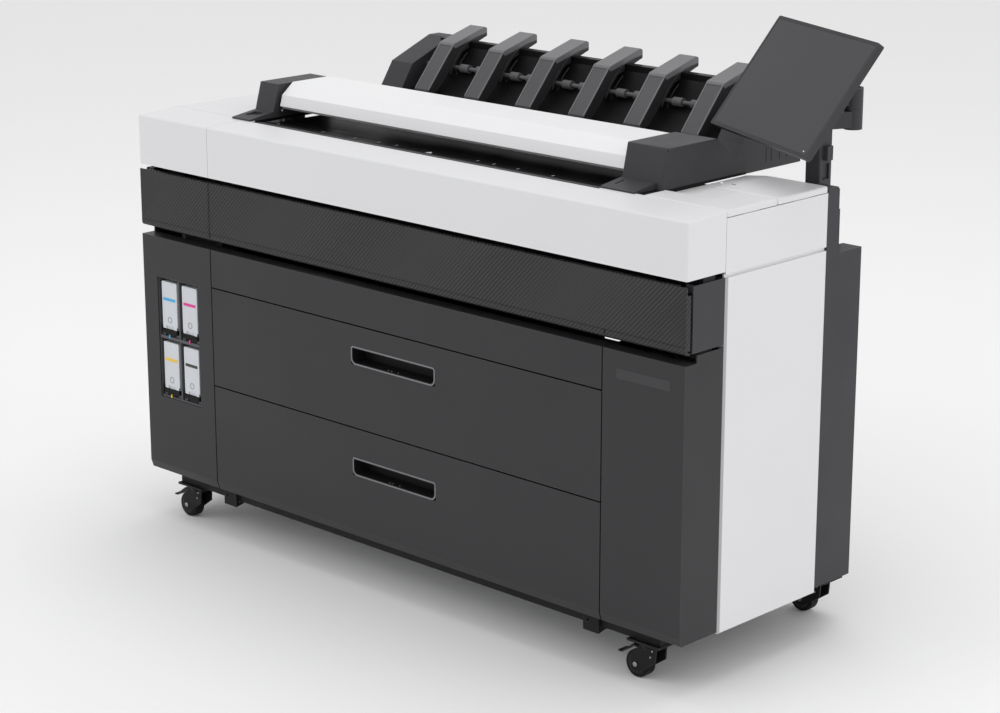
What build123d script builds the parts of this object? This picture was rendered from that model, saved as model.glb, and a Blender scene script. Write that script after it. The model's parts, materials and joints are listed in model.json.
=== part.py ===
from build123d import *
import math
import os

# A large format plotter on casters: a cabinet with two roll drawers and four ink cartridges,
# a print engine behind a lift-up door, a sheet scanner and an output stacker on top, and a
# touch screen on an arm. +X is to the right seen from the front, +Y to the back, +Z up.
# The origin is on the floor, in the middle of the whole outline, screen included.

# ---- Overall sizes (mm) ----
width = 1400.0              # across the white side panels
depth = 620.0               # front face to the back of the output stacker
body_depth = 471.0          # front face to the back of the dark rear covers
return_depth = 98.0         # how far the front covers wrap round the sides
rear_cover_depth = 102.0    # the dark rear covers, front to back
left_block_width = 208.5    # cartridge block, left of the drawers
right_block_width = 179.2   # electronics block, right of the drawers

# ---- Heights, stacked from the floor ----
cabinet_bottom = 99.0
lower_drawer_height = 213.5
upper_drawer_height = 197.5
fixed_panel_height = 75.4
groove_height = 17.6        # finger groove under the door
door_height = 113.5
door_gap = 10.0
fascia_height = 101.5
bevel_height = 15.4         # sloped foot of the front panels
bevel_depth = 5.0
fascia_rise = 4.5           # the fascia's top climbs this much from its front edge

# ---- Walls and gaps ----
wall = 3.0                  # moulded covers
sheet = 2.0                 # sheet steel
seam = 3.0                  # gap between the front panels
cover_gap = 1.0             # gap between neighbouring covers
run_gap = 0.5               # clearance beside anything that slides
fit = 0.05                  # radial clearance of a running fit

# ---- Casters ----
wheel_radius = 25.0
wheel_width = 22.0
caster_height = 2 * wheel_radius + 21.0
caster_trail = 27.0
caster_inset = 97.0         # swivel axis from the side, front pair
rear_caster_inset = 83.0
caster_from_front = 47.0
caster_from_back = 130.0
axle_radius = 4.0
stem_radius = 6.0
fork_plate = 3.0

# ---- Drawers and rolls ----
handle_width = 219.0
handle_height = 35.0
handle_depth = 34.0
handle_rim = 4.0
handle_rise = 121.0         # drawer bottom to the bottom of its handle
tray_inset = 14.0           # seam to the outside of the drawer tray
tray_depth = 400.0
roll_width = 914.0
roll_radius = 68.0
spindle_radius = 12.5
flange_radius = 80.0
flange_thickness = 14.0
roll_from_front = 232.0

# ---- Cartridge bay ----
bay_inset = 41.0            # left side to the opening
bay_width = 125.0
bay_bottom = 257.0
bay_height = 248.0
bay_depth = 228.0
cartridge_width = 46.0
cartridge_height = 97.0
cartridge_length = 190.0
ledge_height = 14.0         # latch ledge under each cartridge

# ---- Scanner ----
scanner_centre = -15.0      # offset of scanner and stacker from the body's middle
bed_width = 893.0
bed_from_front = 86.0
bed_drop = 10.0             # the bed falls this much towards the lid
lid_width = 885.0
lid_from_front = 158.0
lid_bottom = 22.0           # above the white covers
lid_chamfer_rise = 21.0
lid_height = 43.0
lid_depth = 130.0
bracket_width = 52.0
housing_width = 92.0
scan_pivot_radius = 4.0

# ---- Stacker ----
stacker_width = 930.0
stacker_end_width = 60.0
rib_count = 6
rib_pitch = 138.0
rib_width = 40.0
stacker_depth = 176.0
stacker_roller_radius = 8.5

# ---- Touch screen ----
screen_width = 350.0
screen_height = 224.0
screen_thickness = 12.0
screen_yaw = 24.7           # turned towards the middle of the machine
screen_tilt = 35.7          # leaning back from upright
screen_from_side = 81.0     # face centre, from the body's right side
screen_from_front = 365.0
screen_middle_height = 992.0
hinge_standoff = 30.0       # face to the tilt axis
hinge_radius = 8.0
hinge_pin_radius = 3.0
column_width = 31.0
column_depth = 35.0
column_from_side = 43.0
column_from_front = 400.0
knuckle_radius = 16.5
knuckle_from_side = 28.0
knuckle_from_front = 470.0
knuckle_bottom = 909.0
knuckle_half = 36.0
knuckle_pin_radius = 5.0

# ---- Print engine ----
rail_radius = 11.0
rail_from_front = 330.0
rail_height = 706.0
platen_height = 645.0
carriage_width = 140.0
pulley_radius = 15.0
belt_thickness = 1.5
belt_width = 8.0
feed_radius = 14.0
feed_from_front = 140.0
journal_radius = 5.0

# ---- Derived planes ----
yaw = math.radians(screen_yaw)
tilt = math.radians(screen_tilt)
screen_reach = (screen_width / 2 * math.cos(yaw)
                + screen_height / 2 * math.sin(tilt) * math.sin(yaw)
                + screen_thickness * math.cos(tilt) * math.sin(yaw))
overhang = max(screen_reach - screen_from_side, 0.0)
middle = -overhang / 2      # the body's middle, so that the outline is centred on the origin
left = middle - width / 2
right = middle + width / 2
front = -depth / 2
body_back = front + body_depth
back = depth / 2
left_seam = left + left_block_width
right_seam = right - right_block_width
drawer_middle = (left_seam + right_seam) / 2
side_front = front + return_depth
side_back = body_back - rear_cover_depth

lower_top = cabinet_bottom + lower_drawer_height
upper_top = lower_top + upper_drawer_height
panel_top = upper_top + fixed_panel_height
door_bottom = panel_top + groove_height
door_top = door_bottom + door_height
fascia_bottom = door_top + door_gap
top = fascia_bottom + fascia_height

frame_top = cabinet_bottom - 2.0
frame_bottom = caster_height + 4.0


def mid(span):
    """The middle of a (low, high) pair."""
    return (span[0] + span[1]) / 2


def block(x, y, z, mode=Mode.ADD):
    """A box between two limits on each axis."""
    with Locations((mid(x), mid(y), mid(z))):
        Box(x[1] - x[0], y[1] - y[0], z[1] - z[0], mode=mode)


def prism_x(points, x, mode=Mode.ADD):
    """An outline of (y, z) points carried along X."""
    with BuildSketch(Plane.YZ.offset(x[0])) as outline:
        with BuildLine():
            Polyline(points, close=True)
        make_face()
    extrude(outline.sketch, amount=x[1] - x[0], mode=mode)


def prism_y(points, y, mode=Mode.ADD):
    """An outline of (x, z) points carried back along Y."""
    with BuildSketch(Plane.XZ.offset(-y[0])) as outline:
        with BuildLine():
            Polyline(points, close=True)
        make_face()
    extrude(outline.sketch, amount=-(y[1] - y[0]), mode=mode)


def rod_x(x, y, z, radius, mode=Mode.ADD):
    """A cylinder along X."""
    with Locations(Location((mid(x), y, z), (0, 90, 0))):
        Cylinder(radius, x[1] - x[0], mode=mode)


def rod_y(x, y, z, radius, mode=Mode.ADD):
    """A cylinder along Y."""
    with Locations(Location((x, mid(y), z), (90, 0, 0))):
        Cylinder(radius, y[1] - y[0], mode=mode)


def rod_z(x, y, z, radius, mode=Mode.ADD):
    """A cylinder along Z."""
    with Locations((x, y, mid(z))):
        Cylinder(radius, z[1] - z[0], mode=mode)


def finish(builder, name):
    """Label a finished piece and write it."""
    builder.part.label = name
    export_step(builder.part, "parts/" + name + ".step")


os.makedirs("parts", exist_ok=True)

# ---------------------------------------------------------------- base and casters
caster_places = {
    "front_left": (left + caster_inset, front + caster_from_front),
    "front_right": (right - caster_inset, front + caster_from_front),
    "rear_left": (left + rear_caster_inset, back - caster_from_back),
    "rear_right": (right - rear_caster_inset, back - caster_from_back),
}
rail_half = 20.0
plate_half_x = 36.0
plate_half_y = 28.0
base_front = front + caster_from_front - rail_half
base_back = back - caster_from_back + rail_half
rail_span = (frame_bottom, frame_top)
bracket_bottom = frame_bottom - 12.0
bracket_plate = (front + 20.0, front + 23.0)
bracket_width_x = 36.0
bracket_tail = 62.0

with BuildPart() as base_frame:
    for x, y in caster_places.values():
        block((x - rail_half, x + rail_half), (base_front, base_back), rail_span)
    for x in (left_seam, right_seam):
        block((x - rail_half, x + rail_half), (base_front, base_back), rail_span)
    for y in (base_front, base_back - 2 * rail_half):
        block((left + caster_inset, right - caster_inset), (y, y + 2 * rail_half), rail_span)
    for x, y in caster_places.values():
        block((x - plate_half_x, x + plate_half_x), (y - plate_half_y, y + plate_half_y),
              (caster_height, frame_bottom))
    for x, y in caster_places.values():
        rod_z(x, y, (caster_height, frame_top - 6), stem_radius + fit, Mode.SUBTRACT)
    for x in (left_seam - 4, right_seam - 55):
        block((x, x + bracket_width_x), bracket_plate, (bracket_bottom, frame_top))
        prism_x([(bracket_plate[0], frame_top), (bracket_plate[0], bracket_bottom),
                 (bracket_plate[0] + bracket_tail, frame_bottom),
                 (bracket_plate[0] + bracket_tail, frame_top)],
                (x + bracket_width_x - 3, x + bracket_width_x))
        rod_y(x + 11, (bracket_plate[0] - 1, bracket_plate[1] + 1), bracket_bottom + 20, 3,
              Mode.SUBTRACT)
        rod_x((x + bracket_width_x - 4, x + bracket_width_x + 1), bracket_plate[0] + 10,
              bracket_bottom + 7, 2.0, Mode.SUBTRACT)
finish(base_frame, "base_frame")

fork_inner = wheel_width / 2 + 1.0
fork_outer = fork_inner + fork_plate
fork_top = caster_height - 0.5
fork_shoulder = caster_height - 11.0
pedal_pin_x = -14.0
pedal_pin_z = 2 * wheel_radius + 4.0
pedal_pin_radius = 2.0
pedal_hub_radius = 4.5
for place, (x, y) in caster_places.items():
    with BuildPart() as caster_fork:
        rod_z(x, y, (fork_shoulder, fork_top), 19)
        rod_z(x, y, (fork_top, frame_top - 10), stem_radius)
        for side in (-1, 1):
            span = sorted((y + side * fork_inner, y + side * fork_outer))
            prism_y([(x - 19, fork_shoulder), (x + 19, fork_shoulder),
                     (x + 17, fork_shoulder - 22), (x - caster_trail + 9, wheel_radius - 12),
                     (x - caster_trail - 7, wheel_radius - 12),
                     (x - caster_trail - 12, wheel_radius + 14),
                     (x - 26, fork_shoulder - 6)], span)
            block((x - 19, x + 19), span, (fork_shoulder - 1, fork_shoulder + 4))
        rod_y(x - caster_trail, (y - fork_outer, y + fork_outer), wheel_radius, axle_radius)
        if place.startswith("front"):
            rod_y(x + pedal_pin_x, (y - fork_outer, y + fork_outer), pedal_pin_z,
                  pedal_pin_radius)
    finish(caster_fork, "caster_fork_" + place)

    with BuildPart() as caster_wheel:
        rod_y(x - caster_trail, (y - wheel_width / 2, y + wheel_width / 2), wheel_radius,
              wheel_radius)
        fillet(caster_wheel.edges().filter_by(GeomType.CIRCLE), 2.5)
        rod_y(x - caster_trail, (y - wheel_width / 2, y + wheel_width / 2), wheel_radius,
              axle_radius + fit, Mode.SUBTRACT)
    finish(caster_wheel, "caster_wheel_" + place)

pedal_half = fork_inner - 0.5
pedal_outline = [(pedal_pin_x, 1), (-36, 2), (-61, -17), (-69, -17), (-69, -14.5),
                 (-62, -14.5), (-37, 4.5), (pedal_pin_x, 3.5)]      # from the swivel axis and the pin
for place in ("front_left", "front_right"):
    x, y = caster_places[place]
    with BuildPart() as caster_brake:
        prism_y([(x + dx, pedal_pin_z + dz) for dx, dz in pedal_outline],
                (y - pedal_half, y + pedal_half))
        rod_y(x + pedal_pin_x, (y - pedal_half, y + pedal_half), pedal_pin_z, pedal_hub_radius)
        rod_y(x + pedal_pin_x, (y - pedal_half, y + pedal_half), pedal_pin_z,
              pedal_pin_radius + fit, Mode.SUBTRACT)
    finish(caster_brake, "caster_brake_" + place)

# ---------------------------------------------------------------- inner steel frame
plate_left = (left_seam - 8.0, left_seam - 8.0 + sheet)
plate_right = (right_seam + 8.0 - sheet, right_seam + 8.0)
plate_y = (front + 34.0, body_back - 12.0)
plate_z = (frame_top, panel_top + 4.0)
engine_inset = 96.0         # side of the machine to the inside of the engine's end plates
engine_x = (left + engine_inset, right - engine_inset)
engine_plates = ((engine_x[0] - sheet, engine_x[0]), (engine_x[1], engine_x[1] + sheet))
engine_z = (panel_top + 16.0, top - 66.0)
engine_front = front + feed_from_front
drawers = {"lower": (cabinet_bottom, lower_top - seam / 2),
           "upper": (lower_top + seam / 2, upper_top - seam / 2)}
runner_rise = 70.0          # drawer bottom to the runner's groove
runner_groove = 22.0
runner_lip = 10.0
runner_inset = (3.0, 11.0)  # the runner's two faces, from the seam
runner_y = (front + 40.0, front + 40.0 + tray_depth)
rear_beam = (body_back - 31.0, body_back - 12.0)
side_bar_y = (front + 200.0, front + 230.0)
side_bar_z = (panel_top + 30.0, fascia_bottom + 4.0)    # bars that hold the side panels

with BuildPart() as inner_frame:
    for plate in (plate_left, plate_right):
        block(plate, plate_y, plate_z)
    for plate in engine_plates:
        block(plate, plate_y, engine_z)
    side_to_side = (left + wall, right - wall)
    for x in ((side_to_side[0], engine_plates[0][0]), (engine_plates[1][1], side_to_side[1])):
        for z in side_bar_z:
            block(x, side_bar_y, (z, z + 25))
    block(side_to_side, (front + 40, front + 70), (panel_top + 4, panel_top + 16))
    block(side_to_side, (front + 45, front + 75), (fascia_bottom - 26, fascia_bottom))
    for x in ((plate_left[0], left_seam + 30), (right_seam - 30, plate_right[1])):
        block(x, (front + 30, plate_y[0] + 10), (panel_top - 25, panel_top))
    block(side_to_side, rear_beam, (150, 180))
    block(side_to_side, rear_beam, (door_top - 46, door_top - 16))
    for bottom, ceiling in drawers.values():
        groove = (bottom + runner_rise, bottom + runner_rise + runner_groove)
        rail = (groove[0] - runner_lip, groove[1] + runner_lip)
        for seam_x, plate, side in ((left_seam, plate_left[1], 1),
                                    (right_seam, plate_right[0], -1)):
            runner = sorted((seam_x + side * runner_inset[0], seam_x + side * runner_inset[1]))
            block(runner, runner_y, rail)
            block(sorted((seam_x + side * (runner_inset[0] + sheet),
                          seam_x + side * (runner_inset[1] + 1))), runner_y, groove,
                  Mode.SUBTRACT)
            for y in (runner_y[0] + 20, runner_y[1] - 60):
                block(sorted((plate, seam_x + side * runner_inset[0])), (y, y + 40), rail)
    for plate in engine_plates:
        rod_x((plate[0] - 1, plate[1] + 1), engine_front, platen_height - feed_radius - 2,
              journal_radius + fit, Mode.SUBTRACT)
finish(inner_frame, "inner_frame")

# ---------------------------------------------------------------- dark front panels


def front_outline(low, high, bevelled):
    """Section of a front panel: skin, top flange and bottom flange, as (y, z) points."""
    flange = front + 25
    if bevelled:
        foot = [(front, low + bevel_height), (front + bevel_depth, low), (flange, low),
                (flange, low + wall), (front + bevel_depth + wall, low + wall),
                (front + wall, low + bevel_height)]
    else:
        foot = [(front, low), (flange, low), (flange, low + wall), (front + wall, low + wall)]
    return foot + [(front + wall, high - wall), (flange + 5, high - wall), (flange + 5, high),
                   (front, high)]


def bevel_cheek(x):
    """Side skin that closes the end of a front panel's bevelled foot."""
    bevel_top = cabinet_bottom + bevel_height
    prism_x([(front, bevel_top), (front + bevel_depth, cabinet_bottom),
             (front + 26, cabinet_bottom), (front + 26, bevel_top + 1), (front, bevel_top + 1)], x)


bay_x = (left + bay_inset, left + bay_inset + bay_width)
bay_z = (bay_bottom, bay_bottom + bay_height)
column_rise = 4.0           # the cabinet's sides stop this far short of the door's ends

with BuildPart() as left_cabinet_panel:
    prism_x(front_outline(cabinet_bottom, panel_top, True), (left, left_seam - seam / 2))
    block((left, left + wall), (front + 25, side_front - cover_gap), (cabinet_bottom, panel_top))
    block((left, left + wall), (front + wall, front + 25),
          (cabinet_bottom + bevel_height, panel_top))
    bevel_cheek((left, left + wall))
    block((left, left + wall), (front + 30, side_front - cover_gap),
          (panel_top - 1, door_bottom - column_rise))
    block((left_seam - seam / 2 - wall, left_seam - seam / 2), (front + wall, front + 25),
          (cabinet_bottom + bevel_height, panel_top))
    block(bay_x, (front - 1, front + wall + 1), bay_z, Mode.SUBTRACT)
finish(left_cabinet_panel, "left_cabinet_panel")

with BuildPart() as right_cabinet_panel:
    prism_x(front_outline(cabinet_bottom, panel_top, True), (right_seam + seam / 2, right))
    block((right - wall, right), (front + 25, side_front - cover_gap),
          (cabinet_bottom, panel_top))
    block((right - wall, right), (front + wall, front + 25),
          (cabinet_bottom + bevel_height, panel_top))
    bevel_cheek((right - wall, right))
    block((right - wall, right), (front + 30, side_front - cover_gap),
          (panel_top - 1, door_bottom - column_rise))
    block((right_seam + seam / 2, right_seam + seam / 2 + wall), (front + wall, front + 25),
          (cabinet_bottom + bevel_height, panel_top))
finish(right_cabinet_panel, "right_cabinet_panel")

with BuildPart() as centre_panel:
    prism_x(front_outline(upper_top + seam / 2, panel_top, False),
            (left_seam + seam / 2, right_seam - seam / 2))
finish(centre_panel, "centre_panel")

# ---------------------------------------------------------------- cartridge bay
bay_pitch_x = bay_width / 2
bay_pitch_z = bay_height / 2
divider = 6.0
slot_x = [bay_x[0] + bay_pitch_x * (i + 0.5) for i in range(2)]
row_z = [bay_z[0] + bay_pitch_z * i for i in range(2)]
bay_back = front + wall + bay_depth

with BuildPart() as cartridge_bay:
    block((bay_x[0] - wall, bay_x[1] + wall), (front + wall, bay_back),
          (bay_z[0] - wall, bay_z[1] + wall))
    for x in slot_x:
        for z in row_z:
            block((x - (bay_pitch_x - divider / 2) / 2, x + (bay_pitch_x - divider / 2) / 2),
                  (front + wall - 1, bay_back - wall), (z + 4, z + bay_pitch_z - 2),
                  Mode.SUBTRACT)
    for x in slot_x:
        for z in row_z:
            block((x - cartridge_width / 2, x + cartridge_width / 2),
                  (front + 10, bay_back - wall), (z + 3, z + 4 + ledge_height))
            block((x - cartridge_width / 2 + 8, x + cartridge_width / 2 - 8),
                  (front + 9, front + 34), (z + 9, z + 5 + ledge_height), Mode.SUBTRACT)
            for side in (-1, 1):
                foot = sorted((x + side * (cartridge_width / 2 - 6),
                               x + side * (cartridge_width / 2 + 3)))
                block(foot, (front + 6, front + 14), (z + 3, z + 10))
finish(cartridge_bay, "cartridge_bay")

inks = {"cyan": (0, 1), "magenta": (1, 1), "yellow": (0, 0), "black": (1, 0)}
for ink, (column, row) in inks.items():
    x = slot_x[column]
    z = row_z[row] + 4 + ledge_height + run_gap
    with BuildPart() as cartridge:
        block((x - cartridge_width / 2, x + cartridge_width / 2),
              (front + 4, front + 4 + cartridge_length), (z, z + cartridge_height))
        fillet(cartridge.edges().filter_by(Axis.Y), 3)
        fillet(cartridge.faces().sort_by(Axis.Y)[0].edges(), 1.2)
        block((x - 12, x + 12), (front + 3, front + 6), (z - 1, z + 7), Mode.SUBTRACT)
    finish(cartridge, "cartridge_" + ink)

# ---------------------------------------------------------------- drawers
drawer_x = (left_seam + seam / 2, right_seam - seam / 2)
handle_x = (drawer_middle - handle_width / 2, drawer_middle + handle_width / 2)
tray_x = (left_seam + tray_inset, right_seam - tray_inset)
roll_y = front + roll_from_front
cradle_gap = 6.0
roll_x = (drawer_middle - roll_width / 2, drawer_middle + roll_width / 2)
spindle_x = (roll_x[0] - flange_thickness - cradle_gap - 10,
             roll_x[1] + flange_thickness + cradle_gap + 10)
tray_floor_rise = 14.0
front_bracket = 14.0        # width of the brackets that hold the drawer's front
roll_rise = 104.0           # drawer bottom to the roll's axis

for name, (low, high) in drawers.items():
    handle_z = (low + handle_rise, low + handle_rise + handle_height)
    with BuildPart() as drawer_front:
        prism_x(front_outline(low, high, name == "lower"), drawer_x)
        for x in (drawer_x[0], drawer_x[1] - wall):
            block((x, x + wall), (front + wall, front + 25), (low + bevel_height, high - wall))
        block(handle_x, (front - 1, front + wall + 1), handle_z, Mode.SUBTRACT)
    finish(drawer_front, "drawer_front_" + name)

    with BuildPart() as handle:
        block(handle_x, (front, front + handle_depth), handle_z)
        fillet(handle.edges().filter_by(Axis.Y).group_by(Axis.Z)[0], 12)
        fillet(handle.edges().filter_by(Axis.Y).group_by(Axis.Z)[-1], 5)
        with BuildSketch(Plane.XZ.offset(-front)) as pocket:
            with Locations((mid(handle_x), mid(handle_z))):
                Rectangle(handle_width - 2 * handle_rim, handle_height - 2 * handle_rim)
            fillet(pocket.vertices().group_by(Axis.Y)[0], 9)
            fillet(pocket.vertices().group_by(Axis.Y)[-1], 2)
        extrude(pocket.sketch, amount=-(handle_depth - wall), mode=Mode.SUBTRACT)
    finish(handle, "handle_" + name)

    tray_z = (low + tray_floor_rise, low + tray_floor_rise + 120)
    tray_y = (front + 30, front + 30 + tray_depth)
    axis_z = low + roll_rise
    cradle_y = (roll_y - 34, roll_y + 34)
    with BuildPart() as drawer_tray:
        block(tray_x, tray_y, (tray_z[0], tray_z[0] + sheet))
        block(tray_x, (tray_y[1] - sheet, tray_y[1]), (tray_z[0], tray_z[0] + 60))
        block(tray_x, (tray_y[0], tray_y[0] + sheet), (tray_z[0], tray_z[0] + 60))
        for x in (tray_x[0], tray_x[1] - sheet):
            block((x, x + sheet), tray_y, tray_z)
        for x in (tray_x[0], tray_x[1] - front_bracket):
            block((x, x + front_bracket), (front + wall, tray_y[0] + 1),
                  (tray_z[0] + 14, tray_z[0] + 70))
        for seam_x, side in ((left_seam, 1), (right_seam, -1)):
            member = sorted((seam_x + side * (runner_inset[0] + sheet + run_gap),
                             seam_x + side * tray_inset))
            block(member, (runner_y[0], runner_y[1] - 10),
                  (low + runner_rise + run_gap, low + runner_rise + runner_groove - run_gap))
        for x in (roll_x[0] - flange_thickness - cradle_gap - 8,
                  roll_x[1] + flange_thickness + cradle_gap):
            block((x, x + 8), cradle_y, (tray_z[0], axis_z + 6))
        rod_x((spindle_x[0] - 1, spindle_x[1] + 1), roll_y, axis_z, spindle_radius + fit,
              Mode.SUBTRACT)
        block((spindle_x[0] - 1, spindle_x[1] + 1),
              (roll_y - spindle_radius - fit, roll_y + spindle_radius + fit),
              (axis_z, axis_z + 10), Mode.SUBTRACT)
    finish(drawer_tray, "drawer_tray_" + name)

    with BuildPart() as media_roll:
        rod_x(spindle_x, roll_y, axis_z, spindle_radius)
        rod_x(roll_x, roll_y, axis_z, roll_radius)
        for x in (roll_x[0] - flange_thickness, roll_x[1]):
            rod_x((x, x + flange_thickness), roll_y, axis_z, flange_radius)
    finish(media_roll, "media_roll_" + name)

# ---------------------------------------------------------------- lift-up front door
door_axis = (front + 8.0, door_top - 7.5)
door_pin_radius = 2.5
lug_radius = 5.0
lug_x = (9.0, 13.0)         # hinge lug, from the door's ends
hinge_notch = 20.0          # the door's top flange stops this far from its ends
door_ends = (left + 0.5, right - 0.5)
end_front = front + 17.0

with BuildPart() as front_door:
    with BuildSketch(Plane.YZ.offset(door_ends[0])) as section:
        with BuildLine():
            Polyline([(front, door_bottom + 7), (front, door_top), (front + 10, door_top),
                      (front + 10, door_top - wall), (front + wall, door_top - wall),
                      (front + wall, door_bottom + 8), (front + 8, door_bottom + wall),
                      (front + 12, door_bottom + wall), (front + 12, door_bottom),
                      (front + 7, door_bottom)])
            RadiusArc((front + 7, door_bottom), (front, door_bottom + 7), 7)
        make_face()
    extrude(section.sketch, amount=door_ends[1] - door_ends[0])
    for x in (door_ends[0], door_ends[1] - wall):
        block((x, x + wall), (front + 1, front + 12), (door_bottom + 7, door_top - 14))
    for x in (door_ends[0] - 1, door_ends[1] - hinge_notch):
        block((x, x + hinge_notch + 1), (front + wall, front + 11),
              (door_top - wall - 1, door_top + 1), Mode.SUBTRACT)
    for x in (door_ends[0] + lug_x[0], door_ends[1] - lug_x[1]):
        span = (x, x + lug_x[1] - lug_x[0])
        rod_x(span, door_axis[0], door_axis[1], lug_radius)
        block(span, (front + 1, door_axis[0]), (door_axis[1] - lug_radius, door_top - 1))
        rod_x((span[0] - 1, span[1] + 1), door_axis[0], door_axis[1],
              door_pin_radius + fit, Mode.SUBTRACT)
finish(front_door, "front_door")

with BuildPart() as band_ends:
    for outer, side in ((left, 1), (right, -1)):
        skin = sorted((outer, outer + side * wall))
        block(skin, (end_front, side_front - cover_gap), (door_bottom + 1, door_top))
        block(sorted((outer, outer + side * 20)), (side_front - cover_gap - wall,
              side_front - cover_gap), (door_bottom + 1, door_top))
        arm = sorted((outer + side * 0.5, outer + side * 18))
        block(arm, (end_front + 2, end_front + 8), (door_axis[1] - 6, door_top))
        boss = sorted((outer + side * 14.5, outer + side * 18))
        block(boss, (door_axis[0] - 3, end_front + 3), (door_axis[1] - 6, door_axis[1] + 3))
        pin = sorted((outer + side * 9, outer + side * 15))
        rod_x(pin, door_axis[0], door_axis[1], door_pin_radius)
finish(band_ends, "band_ends")

# ---------------------------------------------------------------- white side panels
side_z = (cabinet_bottom - 3.3, door_top - 1)
upper_side_z = (fascia_bottom - 4.5, top - 12.5)
panel_flange = 12.0


def side_tray(outer, side, z):
    """A shallow tray of a side panel, open towards the inside."""
    y = (side_front, side_back)
    block(sorted((outer, outer + side * panel_flange)), y, z)
    block(sorted((outer + side * wall, outer + side * (panel_flange + 1))),
          (y[0] + wall, y[1] - wall), (z[0] + wall, z[1] - wall), Mode.SUBTRACT)


with BuildPart() as side_panels:
    for outer, side in ((left, 1), (right, -1)):
        side_tray(outer, side, side_z)
finish(side_panels, "side_panels")

with BuildPart() as upper_side_panels:
    for outer, side in ((left, 1), (right, -1)):
        side_tray(outer, side, upper_side_z)
finish(upper_side_panels, "upper_side_panels")

# ---------------------------------------------------------------- white front and top covers
scan_middle = middle + scanner_centre
bed_x = (scan_middle - bed_width / 2, scan_middle + bed_width / 2)
lid_x = (scan_middle - lid_width / 2, scan_middle + lid_width / 2)
bracket_x = (lid_x[0] - 7 - bracket_width, lid_x[0] - 7)
housing_x = (lid_x[1] + 3, lid_x[1] + 3 + housing_width)
fascia_front_top = top - fascia_rise
corner = 4.0
cover_skirt = 11.0
cover_pad = 10.0            # feet of the top covers on the side panels
covers_back = side_back
covers_split = front + 231.0


fascia_outline = [(front, fascia_bottom), (front, fascia_front_top),
                  (side_front - cover_gap, top), (side_front - cover_gap, fascia_bottom)]
fascia_hollow = [(front + wall, fascia_bottom - 1), (front + wall, fascia_front_top - wall),
                 (side_front + 1, top - wall), (side_front + 1, fascia_bottom - 1)]
fascia_spans = {"front_fascia": (left_seam + cover_gap / 2, right),
                "left_fascia": (left, left_seam - cover_gap / 2)}
outer_end = {"front_fascia": -1, "left_fascia": 0}

for name, span in fascia_spans.items():
    with BuildPart() as fascia:
        prism_x(fascia_outline, span)
        front_edges = fascia.edges().filter_by(Axis.Z).group_by(Axis.Y)[0]
        fillet(front_edges.sort_by(Axis.X)[outer_end[name]], corner)
        fillet(fascia.edges().filter_by(Axis.X).group_by(Axis.Y)[0].sort_by(Axis.Z)[-1], 3)
        prism_x(fascia_hollow, (span[0] + wall, span[1] - wall), Mode.SUBTRACT)
        block((span[0] + wall, span[1] - wall), (front + wall, front + 24),
              (fascia_bottom, fascia_bottom + wall))
        block((bed_x[0] - cover_gap, bed_x[1] + cover_gap),
              (front + bed_from_front, side_front + 1), (top - 12, top + 1), Mode.SUBTRACT)
    finish(fascia, name)

with BuildPart() as top_cover_left:
    block((left, bracket_x[0] - cover_gap), (side_front, covers_back), (top - cover_skirt, top))
    fillet(top_cover_left.faces().sort_by(Axis.X)[0].edges().sort_by(Axis.Z)[-1], 4)
    block((left + wall, bracket_x[0] - cover_gap - wall), (side_front + wall, covers_back - wall),
          (top - cover_skirt - 1, top - wall), Mode.SUBTRACT)
    block((left + wall, left + cover_pad), (covers_split - 20, covers_split + 20),
          (upper_side_z[1], top - wall))
finish(top_cover_left, "top_cover_left")

facet_x = (housing_x[1] + cover_gap, housing_x[1] + 52)
facet_depth = 7.0
facet_front = front + 153.0
right_spans = {"front": (side_front, covers_split - cover_gap / 2),
               "rear": (covers_split + cover_gap / 2, covers_back)}
for name, span in right_spans.items():
    with BuildPart() as top_cover_right:
        block((housing_x[1] + cover_gap, right), span, (top - cover_skirt, top))
        fillet(top_cover_right.faces().sort_by(Axis.X)[-1].edges().sort_by(Axis.Z)[-1], 4)
        fillet(top_cover_right.edges().filter_by(Axis.Z).group_by(Axis.X)[-1], 4)
        prism_y([(facet_x[0] - 1, top - facet_depth), (facet_x[1], top), (facet_x[1], top + 1),
                 (facet_x[0] - 1, top + 1)], (max(facet_front, span[0]), span[1] + 1),
                Mode.SUBTRACT)
        block((facet_x[1], right - wall), (span[0] + wall, span[1] - wall),
              (top - cover_skirt - 1, top - wall), Mode.SUBTRACT)
        block((right - cover_pad, right - wall), (mid(span) - 20, mid(span) + 20),
              (upper_side_z[1], top - wall))
    finish(top_cover_right, "top_cover_right_" + name)

# ---------------------------------------------------------------- scanner
lid_front = front + lid_from_front
lid_back = lid_front + lid_depth
bed_low = top - bed_drop
bed_floor = top - 52.0
bed_wall = 4.0
wing_thickness = 5.0        # shelves beside the bed, under the bracket and the housing
glass_y = (lid_front + 20, lid_back - 26)
glass_x = (bed_x[0] + 21, bed_x[1] - 21)
glass_thickness = 4.0
scan_axis = (lid_back - 4.0, top + 28.0)

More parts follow.
